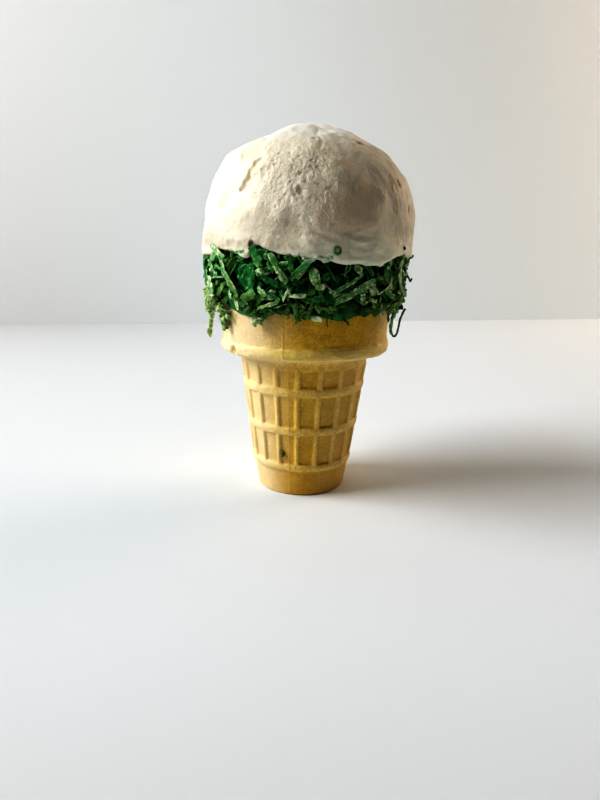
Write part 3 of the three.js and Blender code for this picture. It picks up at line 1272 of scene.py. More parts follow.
@dataclass(frozen=True)
class ShredFinish:
    """Dyed coconut: deep green to pale, in patches emerald or olive, paler along its rims."""

    emerald: tuple[tuple[float, Colour], ...] = (
        (0.0, (0.001, 0.020, 0.001)), (0.3, (0.003, 0.100, 0.010)), (0.5, (0.014, 0.205, 0.032)),
        (0.7, (0.090, 0.345, 0.095)), (0.86, (0.280, 0.490, 0.210)), (1.0, (0.760, 0.880, 0.560)),
    )
    olive: tuple[tuple[float, Colour], ...] = (
        (0.0, (0.002, 0.016, 0.001)), (0.4, (0.024, 0.120, 0.010)), (0.72, (0.160, 0.320, 0.065)),
        (0.88, (0.350, 0.490, 0.180)), (1.0, (0.700, 0.800, 0.460)),
    )
    soaking: Mottle = Mottle(1.2, 0.34, 0.66, roughness=0.60)
    rim_wear: Mottle = Mottle(1.4, 0.35, 0.60, 0.22, detail=2.0)
    olive_below: float = 56.0
    green_above: float = 68.0
    relief_depth: float = 0.26

    def build(self) -> Material:
        """Makes the material.

        Returns:
            The material.
        """
        recipe = Recipe("dyed_coconut", Specular_IOR_Level=0.4)
        soaked = (recipe.mottled(self.soaking) - 0.5) * 0.26
        along = {0: recipe.attribute("run") * (0.14 * MM), 1: recipe.attribute("across") * MM}
        strands = recipe.noise(0.30, 2.0, 0.6, recipe.node("ShaderNodeCombineXYZ", None, along)) - 0.5
        fibres = (recipe.noise(0.45, 2.0, 0.6) - 0.5) * 0.26 + strands * 0.42
        rim = recipe.attribute("rim") * recipe.mottled(self.rim_wear)
        tint = recipe.attribute("tint") + rim + soaked + fibres
        low = recipe.along("Z").step(self.green_above, self.olive_below)
        kind = recipe.noise(6.0, 2.0) * 0.8 + low * 0.2 + recipe.attribute("olive") * 0.5
        green, brownish = recipe.ramp(tint, self.emerald), recipe.ramp(tint, self.olive)
        recipe.feed("Base Color", recipe.mix(kind.step(0.36, 0.62), green, brownish))
        recipe.feed("Roughness", recipe.noise(1.1, 2.0) * 0.4 + 0.16)
        uneven = recipe.noise(0.4, 3.0, 0.65) * 0.7 + strands * 0.7 + soaked * 0.6
        recipe.relief(uneven, self.relief_depth)
        return recipe.material


@dataclass
class CoconutBand:
    """The band of shreds: a dark lumpy bed, loose shreds in layers, and those laid one by one.

    From one strewn shred to the next, turn_on is the angle round the band and climb is the share
    of its height. The patch is where the broad sheet of candy lies.
    """

    seed: int = 31
    low: float = 57.0
    high: float = 74.0
    foot: float = 55.5
    tall: float = 19.0
    least_radius: float = 27.3
    belly: float = 2.5
    hand_lift: float = 0.75
    hook_reach: float = 0.72
    patch: tuple[float, float, float] = (-31.5, 66.8, 3.4)
    painted_light_least_tint: float = 0.60
    inner: float = 24.6
    turn_on: float = 222.4922
    climb: float = 0.7549
    bed_lumps: Press = Press(1.5, 2.4)
    bed_creases: Press = Press(0.7, 1.2, Grain.CREASES)
    bed_hollow: float = 2.2
    shred_waves: float = 0.45
    wad_cell: float = 0.32
    wad_lumps: Press = Press(1.5, 1.5)
    wad_creases: Press = Press(1.1, 0.9, Grain.CREASES)
    wad_pores: Press = Press(0.5, 0.9, Grain.PORES)
    heaps: dict[str, list] = field(default_factory=dict)

    def surface(self, height: float) -> float:
        """Radius of the band's outside, a low barrel.

        Args:
            height: Height of the place.

        Returns:
            The radius there.
        """
        share = min(max((height - self.foot) / self.tall, 0.0), 1.0)
        fullness = math.sin(math.pi * min(share * 1.25, 1.0) ** 0.6 / 2)
        return self.least_radius + self.belly * fullness - 0.4 * share

    def build(self, bed_finish: Material, finish: Material) -> None:
        """Models the bed and all shreds.

        Args:
            bed_finish: The bed's material.
            finish: The shreds' material.
        """
        self.build_bed(bed_finish)
        self.random = np.random.default_rng(self.seed)
        cuts = (RIBBON, STRAP, LEAF, CHIP, THREAD, HOOK)
        self.moulds = {cut.name: [cut.shape(seed) for seed in (1, 2, 3)] for cut in cuts}
        low, high = self.low, self.high
        self.strew(380, (low + 1.0, high + 0.5), (-1.9, -0.8), (0.04, 0.40), (RIBBON, STRAP, LEAF))
        self.strew(380, (low, high), (-0.9, 0.1), (0.12, 0.62), (RIBBON, STRAP, LEAF, CHIP, THREAD))
        self.strew(330, (low, high), (0.0, 0.8), (0.30, 0.85), (RIBBON, LEAF, LEAF, THREAD, HOOK), True)
        self.strew(330, (low - 0.3, high), (-0.6, 0.7), (0.2, 0.95), (CHIP, LEAF, THREAD))
        for laid in LAID_SHREDS:
            self.lay_by_hand(laid)
        self.hang_clumps()
        for name, heap in self.heaps.items():
            self.gather(name, heap, finish)
        self.build_wads(finish)

    def build_wads(self, finish: Material) -> None:
        """Lumps of matted shreds at the heart of the hanging clumps, and the broad piece at the left.

        Args:
            finish: Their material.
        """
        lumps = (
            (-66.0, 59.2, 29.3, (3.3, 1.9, 2.6)), (-79.0, 61.0, 29.0, (1.9, 1.5, 1.9)),
            (-70.0, 56.8, 28.4, (2.3, 1.5, 1.7)), (-60.0, 57.0, 28.0, (1.7, 1.2, 1.5)),
            (-61.5, 54.6, 26.5, (1.6, 0.9, 2.0)), (-57.8, 52.6, 26.2, (1.1, 0.7, 1.6)),
            (-82.0, 48.6, 28.6, (0.9, 0.8, 1.2)),
            (-28.5, 55.2, 27.0, (1.7, 1.0, 1.4)), (60.0, 60.6, 29.2, (3.0, 1.6, 2.3)),
            (69.0, 61.4, 29.0, (1.9, 1.3, 2.2)), (56.0, 65.6, 29.2, (1.5, 1.0, 3.0)),
            (46.0, 58.0, 27.6, (2.2, 1.0, 1.4)), (61.0, 70.6, 29.8, (2.4, 1.2, 2.4)),
            (-3.0, 57.2, 27.2, (1.1, 0.8, 1.5)),
        )
        wads = Workpiece.balls("coconut_wads", lumps, 24, 14)
        wads.modify("REMESH", mode="VOXEL", voxel_size=self.wad_cell, adaptivity=0.0)
        for unevenness in (self.wad_lumps, self.wad_creases, self.wad_pores):
            wads.press(None, unevenness)
        # Wads at the left are paler than those at the right: partly their own tone, partly painted light
        # on the window side.
        wads.note("tint", np.where(azimuth_of(wads.places()) < 0.0, 0.88, 0.66))
        wads.note("olive", 1.0)
        wads.hand_over(finish, "coconut")

    def build_bed(self, finish: Material) -> None:
        """The dark mass that the shreds stick in: candy, darkened further as painted shade in the gaps
        between shreds.

        Args:
            finish: Its material.
        """
        profile = (
            (self.inner, 57.6), (25.8, 57.8), (26.3, 59.5), (26.9, 61.5), (27.5, 64.0), (27.9, 67.0),
            (27.9, 70.0), (27.7, 73.0), (27.4, 75.4), (26.6, 76.2), (self.inner, 76.2),
            (self.inner, 70.0), (self.inner, 64.0),
        )
        bed = Workpiece.turned("coconut_bed", [*profile, profile[0]], 150)
        bed.refine()
        bed.press(None, self.bed_lumps)
        bed.press(None, self.bed_creases)
        bed.push(bare_share, -self.bed_hollow)
        bed.hand_over(finish, "candy")

    def lay(
        self, cut: Cut, place: tuple[float, float, float], turns: tuple[float, float, float],
        scale: tuple[float, float], tint: float, tucked: bool = False
    ) -> None:
        """Lays one shred round the band.

        Args:
            cut: Its cut.
            place: Azimuth, height and radius of its middle.
            turns: Roll about its length, tilt of its length off the band, and direction, in degrees.
            scale: Factors on its length and its width.
            tint: Its place on the colour ramp.
            tucked: Whether its upper end is drawn in under the scoop's skirt.
        """
        moulds = self.moulds[cut.name]
        places, faces = moulds[self.random.integers(len(moulds))]
        along, across, out = places[:, 0] * scale[0], places[:, 2] * scale[1], -places[:, 1]
        rim = np.clip(np.abs(places[:, 2]) / (cut.width / 2), 0.0, 1.0) ** 3
        run = along + self.random.uniform(0.0, 90.0)
        strip = across
        roll, tilt, spin = (math.radians(turn) for turn in turns)
        across, out = turned_pair(across, out, roll)
        along, out = turned_pair(along, out, tilt)
        right, up = turned_pair(along, across, spin)
        azimuth, height, radius = place
        azimuths = np.radians(azimuth) + right / radius
        radii = radius + out
        if tucked:
            radii -= smooth_step(height + up, 72.8, 74.8) * np.maximum(radii - 28.6, 0.0)
        shaped = np.column_stack((radii * np.sin(azimuths), -radii * np.cos(azimuths), height + up))
        notes = {"tint": tint, "rim": rim, "run": run, "across": strip}
        self.heaps.setdefault(cut.name, []).append((shaped, faces, notes))

    def is_bare(self, azimuth: float, height: float) -> bool:
        """Whether a place lies where the candy shows.

        Args:
            azimuth: In degrees.
            height: In millimetres.

        Returns:
            True in one of the bare spots.
        """
        for spot_azimuth, spot_height, radius in (*BARE_SPOTS, self.patch):
            aside = math.radians(azimuth - spot_azimuth) * 28.0
            if math.hypot(aside, height - spot_height) < radius:
                return True
        return False

    def strew(
        self, count: int, heights: tuple[float, float], lifts: tuple[float, float],
        tints: tuple[float, float], cuts: Sequence[Cut], thin_front: bool = False
    ) -> None:
        """Strews shreds evenly round the band.

        Args:
            count: How many.
            heights: Lowest and highest middle.
            lifts: Range of their distance off the band's outside.
            tints: Range of their tints.
            cuts: Cuts to choose from.
            thin_front: Whether to leave out most at the front, where shreds are laid by hand.
        """
        random = self.random
        for number in range(count):
            azimuth = (number * self.turn_on) % 360.0 - 180.0 + random.normal(0.0, 3.0)
            share = (number * self.climb + random.random() * 0.2) % 1.0
            height = heights[0] + (heights[1] - heights[0]) * share
            cut = cuts[random.integers(len(cuts))]
            spin = random.normal(0.0, 42.0) + (90.0 if random.random() < 0.18 else 0.0)
            turns = (random.normal(0.0, 24.0), random.normal(0.0, 11.0), spin)
            scale = (random.uniform(0.45, 1.05), random.uniform(0.45, 1.0))
            lift = random.uniform(*lifts)
            tint = random.uniform(*tints)
            # Painted light: shreds on the window side are kept pale.
            if -105.0 < azimuth < -46.0:
                tint = max(tint, self.painted_light_least_tint)
            skipped = thin_front and abs(azimuth) < 58.0 and random.random() < 0.6
            # Under the front of the skirt shreds are left out, so the near-black bed shows there as
            # painted shadow.
            shaded = -5.0 < azimuth < 42.0 and height > 69.4 and lift > -1.0
            rise = cut.length * scale[0] * abs(math.sin(math.radians(spin))) / 2
            over_skirt = height + rise > 75.0 and lift > -0.8
            matted = -76.0 < azimuth < -56.0 and height < 61.5 and lift > -0.3
            if skipped or shaded or matted or over_skirt or self.is_bare(azimuth, height):
                continue
            place = (azimuth, height, self.surface(height) + lift)
            self.lay(cut, place, turns, scale, tint, tucked=True)

    def lay_by_hand(self, laid: Laid) -> None:
        """Lays one of the listed shreds.

        Args:
            laid: The shred.
        """
        azimuth = (laid.start[0] + laid.end[0]) / 2
        height = (laid.start[1] + laid.end[1]) / 2
        radius = self.surface(height) + self.hand_lift + laid.lift
        aside = math.radians(laid.end[0] - laid.start[0]) * radius
        rise = laid.end[1] - laid.start[1]
        spread = laid.cut.length * (self.hook_reach if laid.cut is HOOK else 1.0)
        scale = (math.hypot(aside, rise) / spread, laid.width / laid.cut.width)
        turns = (self.random.normal(0.0, 8.0), laid.tilt, math.degrees(math.atan2(rise, aside)))
        self.lay(laid.cut, (azimuth, height, radius), turns, scale, laid.tint)

    def hang_clumps(self) -> None:
        """Small shreds that stick together and hang below the band, and curls that poke out."""
        # Clumps at the left get paler tints than those at the right: partly their own tone, partly
        # painted light on the window side.
        clumps = (
            ((-59.5, 2.4), (53.9, 1.9), 26.9, 12, 0.86),
            ((-69.0, 5.0), (58.6, 2.0), 29.2, 20, 0.83),
            ((-28.0, 2.6), (55.4, 1.0), 27.6, 24, 0.80),
            ((-4.0, 2.5), (57.4, 1.2), 27.6, 16, 0.66),
            ((16.0, 3.0), (57.4, 0.6), 27.0, 14, 0.52),
            ((60.0, 5.0), (61.0, 1.8), 30.4, 34, 0.70),
            ((69.0, 4.0), (61.4, 1.5), 29.8, 18, 0.68),
            ((60.0, 3.0), (58.2, 0.8), 29.0, 10, 0.66),
            ((45.0, 3.0), (58.6, 0.8), 28.2, 18, 0.50),
            ((98.0, 5.0), (56.4, 1.6), 27.8, 40, 0.60),
            ((140.0, 7.0), (56.0, 1.4), 27.2, 44, 0.60),
            ((-150.0, 6.0), (56.2, 1.8), 27.2, 44, 0.62),
            ((-112.0, 5.0), (56.6, 1.4), 27.6, 36, 0.60),
        )
        random = self.random
        for (azimuth, spread), (height, reach), radius, count, tint in clumps:
            for _ in range(count):
                cut = (CHIP, LEAF, CHIP, CHIP, HOOK)[random.integers(5)]
                place = (
                    random.normal(azimuth, spread / 1.6),
                    random.normal(height, reach / 1.6),
                    radius + random.normal(0.0, 0.5),
                )
                turns = (random.normal(0.0, 34.0), random.normal(0.0, 20.0), random.normal(90.0, 40.0))
                scale = (random.uniform(0.4, 0.85), random.uniform(0.5, 1.0))
                if not self.is_bare(place[0], place[1]):
                    self.lay(cut, place, turns, scale, random.normal(tint, 0.11))

    def gather(self, name: str, heap: list, finish: Material) -> None:
        """Joins all shreds of one cut into a piece.

        Args:
            name: The cut's name.
            heap: Points, faces and attributes of each shred.
            finish: Their material.
        """
        starts = np.cumsum([0, *(len(places) for places, *_ in heap)])
        places = np.concatenate([places for places, *_ in heap])
        faces = np.concatenate([entry[1] + start for entry, start in zip(heap, starts)])
        mesh = bpy.data.meshes.new(name)
        mesh.from_pydata(places.tolist(), [], faces.tolist())
        clear_selection()
        joined = bpy.data.objects.new(name, mesh)
        bpy.context.scene.collection.objects.link(joined)
        bpy.context.view_layer.objects.active = joined
        joined.select_set(True)
        piece = Workpiece("coconut_" + name)
        for attribute in ("tint", "rim", "run", "across"):
            values = [np.broadcast_to(entry[2][attribute], len(entry[0])) for entry in heap]
            piece.note(attribute, np.concatenate(values))
        for along, size in (("X", 1.3), ("Y", 1.7), ("Z", 1.1)):
            piece.press(None, Press(self.shred_waves, size), along)
        piece.hand_over(finish, "coconut", "coconut_band" if name == RIBBON.name else None, crisp=80.0)


# --- Ice cream ---

@dataclass(frozen=True)
class CreamFinish:
    """Cream-white ice cream, a little darker and yellower in its pits; painted shade on its right, lower
    left, folds, belly and hole, painted light on its skirt and top.
    """

    cream: Colour = (0.89, 0.82, 0.675)
    shade: Colour = (0.76, 0.66, 0.48)
    warm: Colour = (0.83, 0.66, 0.46)
    painted_shade_grey: Colour = (0.60, 0.54, 0.42)
    top_light: Colour = (0.92, 0.90, 0.84)
    thin: Colour = (0.99, 0.93, 0.77)
    low_edge_light: Colour = (0.93, 0.92, 0.70)
    tan: Colour = (0.62, 0.43, 0.16)
    dark_mark: Colour = (0.16, 0.05, 0.06)
    clouds: Mottle = Mottle(7.0, 0.45, 0.75, 0.35, 4.0, 0.60)
    fold_shade_streaks: Mottle = Mottle(1.5, 0.30, 0.62, 0.90, roughness=0.60, drawn=(1.0, 1.0, 0.45),
                           turn=(0.0, 25.0, 0.0))
    pits: Mottle = Mottle(1.3, 0.46, 0.30, 0.25, roughness=0.60)
    relief_depth: float = 0.62

    def build(self, crumbly: Vector, belly: Vector, hole: Vector) -> Material:
        """Makes the material.

        Args:
            crumbly: Middle of the rough part.
            belly: Middle of the smooth belly, painted darker and warmer: partly a browner tone, partly
                painted shade.
            hole: Place of the hole in the skirt, painted near-black as painted shade.

        Returns:
            The material.
        """
        recipe = Recipe("ice_cream", Specular_IOR_Level=0.45, Subsurface_Weight=0.35,
                        Subsurface_Radius=(1.0, 0.72, 0.40), Subsurface_Scale=0.0022)
        aside, height = recipe.along("X"), recipe.along("Z")
        fold_shade = height.step(79.5, 74.5) * aside.step(-8.0, -15.0)
        turned_away_shade = aside.step(-1.0, -6.0) * aside.step(-19.0, -14.5) * height.step(86.0, 80.0)
        recipe.feed("Base Color", recipe.layered(
            self.cream,
            (recipe.mottled(self.clouds), self.shade),
            # Painted shade: grey streaks in the folds of the skirt at the lower left.
            (recipe.mottled(self.fold_shade_streaks) * fold_shade, self.painted_shade_grey),
            # Painted shade and a browner tone: the belly darker and warmer.
            (recipe.spot(belly, 14.0, 0.85) * 0.7, self.warm),
            # Painted shade: greyer on the right side, at the lower left and on the left of the skirt.
            (aside.step(19.5, 23.0) * 0.55, self.painted_shade_grey),
            (turned_away_shade * 0.6, self.painted_shade_grey),
            (height.step(80.0, 76.5) * aside.step(-13.0, -17.0) * 0.5, self.painted_shade_grey),
            # Painted light: the front right of the skirt paler, as if lit through the thin skirt.
            (height.step(79.0, 75.0) * aside.step(-1.0, 6.0) * 0.8, self.thin),
            # Painted light: the lowest edge paler and greener.
            (height.step(75.0, 72.0) * 0.6, self.low_edge_light),
            # Painted light: paler and cooler towards the top.
            (height.step(99.0, 105.0) * 0.9, self.top_light),
            (recipe.mottled(self.pits), self.shade),
            (recipe.attribute("slit") * 0.5, self.tan),
            # Painted shade: the hole in the skirt near-black.
            (recipe.spot(hole, 1.2, 0.5) * 0.9, self.dark_mark),
        ))
        recipe.feed("Roughness", recipe.noise(1.2, 2.0) * 0.3 + 0.36)
        rough = recipe.spot(crumbly, 19.0, 0.7) * 0.8 + 0.2
        grains = recipe.cells(0.8).step(0.15, 0.5)
        recipe.relief(recipe.noise(1.0, 4.0, 0.72) * rough + grains * rough * 0.12, self.relief_depth)
        return recipe.material


@dataclass
class Scoop:
    """The scoop: a full dome, crumbly at the top left, smooth at its belly, with a dripping skirt.

    A dent has its azimuth and height, its outer and inner reach, and its move. A crease has the
    azimuths and heights of its corners, its width and its move.
    """

    radius: float = 30.7
    waist: float = 76.0
    top: float = 107.1
    fullness: float = 2.7
    skirt_edge: float = 75.2
    belly_lean: float = 1.0
    belly_swell: float = 0.45
    waist_pinch: float = 0.32
    facet_depth: float = 0.8
    cell: float = 0.78
    slump: Press = Press(0.8, 14.0, layers=1)
    lumps: tuple[Press, ...] = (
        Press(0.8, 7.0, layers=1), Press(0.40, 4.0, layers=1), Press(0.17, 2.2, layers=1))
    crumbs: tuple[Press, ...] = (Press(0.42, 2.6), Press(0.16, 0.95, layers=1))
    pores: Press = Press(-0.09, 0.9, Grain.PORES, level=0.2)
    smears: Press = Press(0.64, 1.7, drawn=(3.2, 3.2, 0.9))
    frost: Press = Press(0.12, 1.0, layers=1)
    seed: int = 5
    pits: int = 70
    pit_depth: float = 0.26
    hole_depth: float = 1.1
    dents: tuple[tuple[float, float, float, float, float], ...] = (
        (-90.0, 88.0, 16.0, 4.0, -0.4), (-75.0, 104.0, 13.0, 3.0, -0.9),
        (-85.0, 79.0, 13.0, 3.0, 0.5), (80.0, 100.0, 13.0, 3.0, -0.5),
    )
    creases: tuple[tuple[Outline, float, float], ...] = (
        (((6.5, 106.0), (16.4, 104.4), (23.8, 103.0)), 2.2, -0.32),
        (((7.5, 104.0), (5.0, 102.4), (8.0, 100.6), (6.0, 98.3)), 1.5, -0.16),
        (((-0.8, 81.4), (2.0, 78.5), (9.9, 76.5), (19.1, 76.1)), 1.8, -0.16),
        (((29.5, 93.4), (26.5, 92.0), (23.6, 90.2), (21.2, 87.4)), 1.4, -0.15),
        (((13.0, 76.4), (4.0, 77.4), (-4.0, 79.4), (-10.0, 80.2)), 2.2, -0.22),
        (((-3.6, 87.9), (-4.6, 87.2), (-4.9, 88.4)), 1.5, -0.5),
        (((-6.6, 87.0), (-8.4, 87.8)), 1.4, -0.3),
        (((39.6, 101.0), (41.0, 100.6)), 1.5, -0.45),
        (((53.6, 91.2), (54.2, 90.2)), 1.5, -0.35),
        (((63.5, 85.0), (63.6, 84.0)), 1.5, -0.35),
        (((-25.4, 93.0), (-24.0, 91.4)), 1.8, -0.2),
        (((120.0, 95.0), (126.0, 94.2), (131.0, 92.0), (136.0, 88.5)), 2.0, -0.6),
        (((-110.0, 90.0), (-122.0, 93.5), (-135.0, 93.0)), 2.0, -0.6),
        (((170.0, 84.0), (174.0, 86.0), (178.0, 87.0)), 2.0, -0.7),
    )
    slit: Outline = (
        (-29.6, 96.0), (-31.4, 95.2), (-31.9, 93.9), (-34.2, 92.9), (-34.4, 91.4), (-36.6, 90.6),
        (-36.4, 89.5), (-38.4, 88.8),
    )
    edge: Outline = (
        (-180, 73.0), (-168, 71.2), (-150, 73.6), (-135, 72.0), (-120, 73.8), (-104, 71.6), (-88, 73.0),
        (-75, 71.8), (-61, 72.3), (-52, 73.9), (-40, 72.8), (-31, 71.4), (-27.5, 75.2), (-22, 74.2),
        (-13, 72.3), (-4, 72.3), (8, 71.5), (17, 71.3), (34, 70.5), (38.5, 70.2), (40, 69.5),
        (41.5, 70.6), (46, 72.0), (60, 73.2), (75, 71.9), (90, 73.4), (104, 71.0), (118, 72.8),
        (130, 71.4), (146, 73.5), (160, 71.6), (180, 73.0),
    )

    def dome(self, height: float) -> float:
        """Radius of the dome at a height."""
        share = min(max((height - self.waist) / (self.top - self.waist), 0.0), 1.0)
        return self.radius * math.sqrt(1.0 - share ** self.fullness)

    @property
    def middle(self) -> Vector:
        """The dome's middle, at its waist."""
        return Vector((0.6, 0.0, self.waist))

    @property
    def hole(self) -> Vector:
        """The dark hole in the skirt, left of the front."""
        return on_ring(-27.6, 30.4, 74.9)

    def on_dome(self, azimuth: float, height: float) -> Vector:
        """A place on the dome by its azimuth and height."""
        return on_ring(azimuth, self.dome(height), height) + Vector((self.middle.x, 0.0, 0.0))

    def spread(self, places: Places) -> Places:
        """Places moved out to a ball, so that distances run along the surface and not into it."""
        arms = places - np.array(self.middle)
        return arms * (self.radius / np.linalg.norm(arms, axis=1))[:, None]

    def near_marks(self, marks: Sequence[tuple[float, float]], width: float) -> Weigh:
        """A stripe of a width along marks on the dome: 1 in its middle, 0 at its sides."""
        line = self.spread(np.array([self.on_dome(*mark) for mark in marks]))
        return lambda places: smooth_step(near_path(self.spread(places), line), width / 2, width / 8)

    def build(self, finish: Material) -> None:
        """Models the scoop.

        Args:
            finish: Its material.
        """
        rise = self.top - self.waist
        heights = [self.waist + rise * share for share in np.sin(np.linspace(math.pi / 2, 0.0, 40))]
        profile = [(self.dome(height), height) for height in heights]
        profile += [(self.radius + inset, self.skirt_edge + up) for inset, up in (
            (0.15, 0.3), (0.0, -0.3), (-0.8, -0.7), (-2.0, -0.4), (-2.9, 0.8))]
        profile += [(inner, self.skirt_edge + 1.3) for inner in (26.0, 0.0)]
        scoop = Workpiece.turned("scoop", profile, 160)
        self.hang_skirt(scoop)
        self.shape(scoop)
        scoop.modify("REMESH", mode="VOXEL", voxel_size=self.cell, adaptivity=0.0)
        scoop.refine()
        self.roughen(scoop)
        self.mark(scoop)
        scoop.hand_over(finish, "ice_cream", "ice_cream")

    def hang_skirt(self, scoop: Workpiece) -> None:
        """Draws the lower edge down into waves and drips.

        Args:
            scoop: The turned dome.
        """
        drop = self.skirt_edge - min(height for _, height in self.edge)

        def drawn(places: Places) -> np.ndarray:
            """How far the edge hangs, fading out above it."""
            hang = (self.skirt_edge - edge_height(places, self.edge)) / drop
            return (hang * smooth_step(places[:, 2], 79.0, 75.6)
                    * smooth_step(radius_of(places), 26.5, 28.4))

        scoop.push(drawn, -drop, "Z")

    def shape(self, scoop: Workpiece) -> None:
        """Leans the dome over to the right, flattens its left side and draws up its peak.

        Args:
            scoop: The dome with its skirt.
        """
        def full(places: Places) -> np.ndarray:
            """Most between waist and shoulder."""
            return 0.4 + 0.6 * between(places[:, 2], 70.0, 80.0, 90.0, 98.0)

        def facet(places: Places) -> np.ndarray:
            """The bright flat side left of the front, with a clear upright edge."""
            side = between(azimuth_of(places), -66.0, -40.0, -34.0, -22.0)
            return side * between(places[:, 2], 76.0, 80.0, 90.0, 96.0)

        scoop.push(full, self.belly_lean, "X")
        scoop.push(facet, -self.facet_depth)
        for azimuth, height, far, close, move in self.dents:
            middle = self.on_dome(azimuth, height)
            scoop.push(lambda places: near(places, middle, far, close), move)
        scoop.push(lambda places: near(places, (1.8, -1.0, self.top), 6.5, 0.5), 0.7, "Z")
        scoop.press(None, self.slump)

    def roughen(self, scoop: Workpiece) -> None:
        """Presses in the uneven surface: crumbly above, smoother at the belly, smeared at the skirt.

        Args:
            scoop: The remeshed scoop.
        """
        def outside(places: Places) -> np.ndarray:
            """All but the underside."""
            return smooth_step(radius_of(places), 27.0, 29.0) + (places[:, 2] > 80.0)

        def belly(places: Places) -> np.ndarray:
            """1 on the smooth belly at the right of the front, whose left edge is the clearest."""
            away = (places - np.array(self.on_dome(17.0, 82.5))) / np.array((1.25, 1.0, 1.0))
            return near(away, (0.0, 0.0, 0.0), 14.0, 4.5)

        def crumbly(places: Places) -> np.ndarray:
            """The rough upper part, roughest at the front left."""
            share = 0.15 + 0.85 * near(places, self.on_dome(-6.0, 89.5), 15.5, 4.0)
            return share * smooth_step(places[:, 2], 80.0, 85.0) * (1.0 - 0.8 * belly(places))

        def grainy(places: Places) -> np.ndarray:
            """The pitted right and back."""
            side = smooth_step(azimuth_of(places) % 360.0, 5.0, 50.0)
            return outside(places) * side * (1.0 - belly(places))

        def smeared(places: Places) -> np.ndarray:
            """The skirt below the waist, less so at the left."""
            front = 0.62 + 0.38 * smooth_step(azimuth_of(places), -25.0, 5.0)
            return smooth_step(places[:, 2], 81.0, 76.5) * outside(places) * front

        def pinched(places: Places) -> np.ndarray:
            """The hollow round the dome just above its skirt."""
            front = smooth_step(azimuth_of(places), -60.0, -30.0)
            return between(places[:, 2], 75.6, 77.6, 78.4, 81.0) * front * outside(places)

        scoop.push(belly, self.belly_swell)
        scoop.push(pinched, -self.waist_pinch)
        for unevenness in self.lumps:
            scoop.press(outside, unevenness)
        for unevenness in self.crumbs:
            scoop.press(crumbly, unevenness)
        scoop.push(self.pitted(), -self.pit_depth)
        scoop.press(grainy, self.pores)
        scoop.press(smeared, self.smears)
        scoop.press(outside, self.frost)

    def pitted(self) -> Weigh:
        """Small pits strewn over the rough part, closest at its middle.

        Returns:
            A function that gives 1 in the middle of each pit.
        """
        random = np.random.default_rng(self.seed)
        pits = []
        for _ in range(self.pits):
            middle = self.on_dome(random.normal(-5.0, 14.0), random.normal(90.0, 4.5))
            pits.append((np.array(middle), random.uniform(0.4, 0.75)))

        def share(places: Places) -> np.ndarray:
            """The deepest share of any pit at each place."""
            away = [np.linalg.norm(places - middle, axis=1) / size for middle, size in pits]
            return smooth_step(np.min(away, axis=0), 1.0, 0.2)

        return share

    def mark(self, scoop: Workpiece) -> None:
        """Cuts the slit, pits and creases.

        Args:
            scoop: The roughened scoop.
        """
        for marks, width, depth in self.creases:
            scoop.push(self.near_marks(marks, width), depth)
        scoop.push(self.near_marks(self.slit, 1.7), -0.34)
        scoop.push(self.near_marks(self.slit[4:], 2.4), -0.2)
        scoop.note("slit", self.near_marks(self.slit, 1.5)(scoop.places()))
        scoop.push(lambda places: near(places, self.hole, 1.0, 0.2), -self.hole_depth)


# --- Trimmings ---

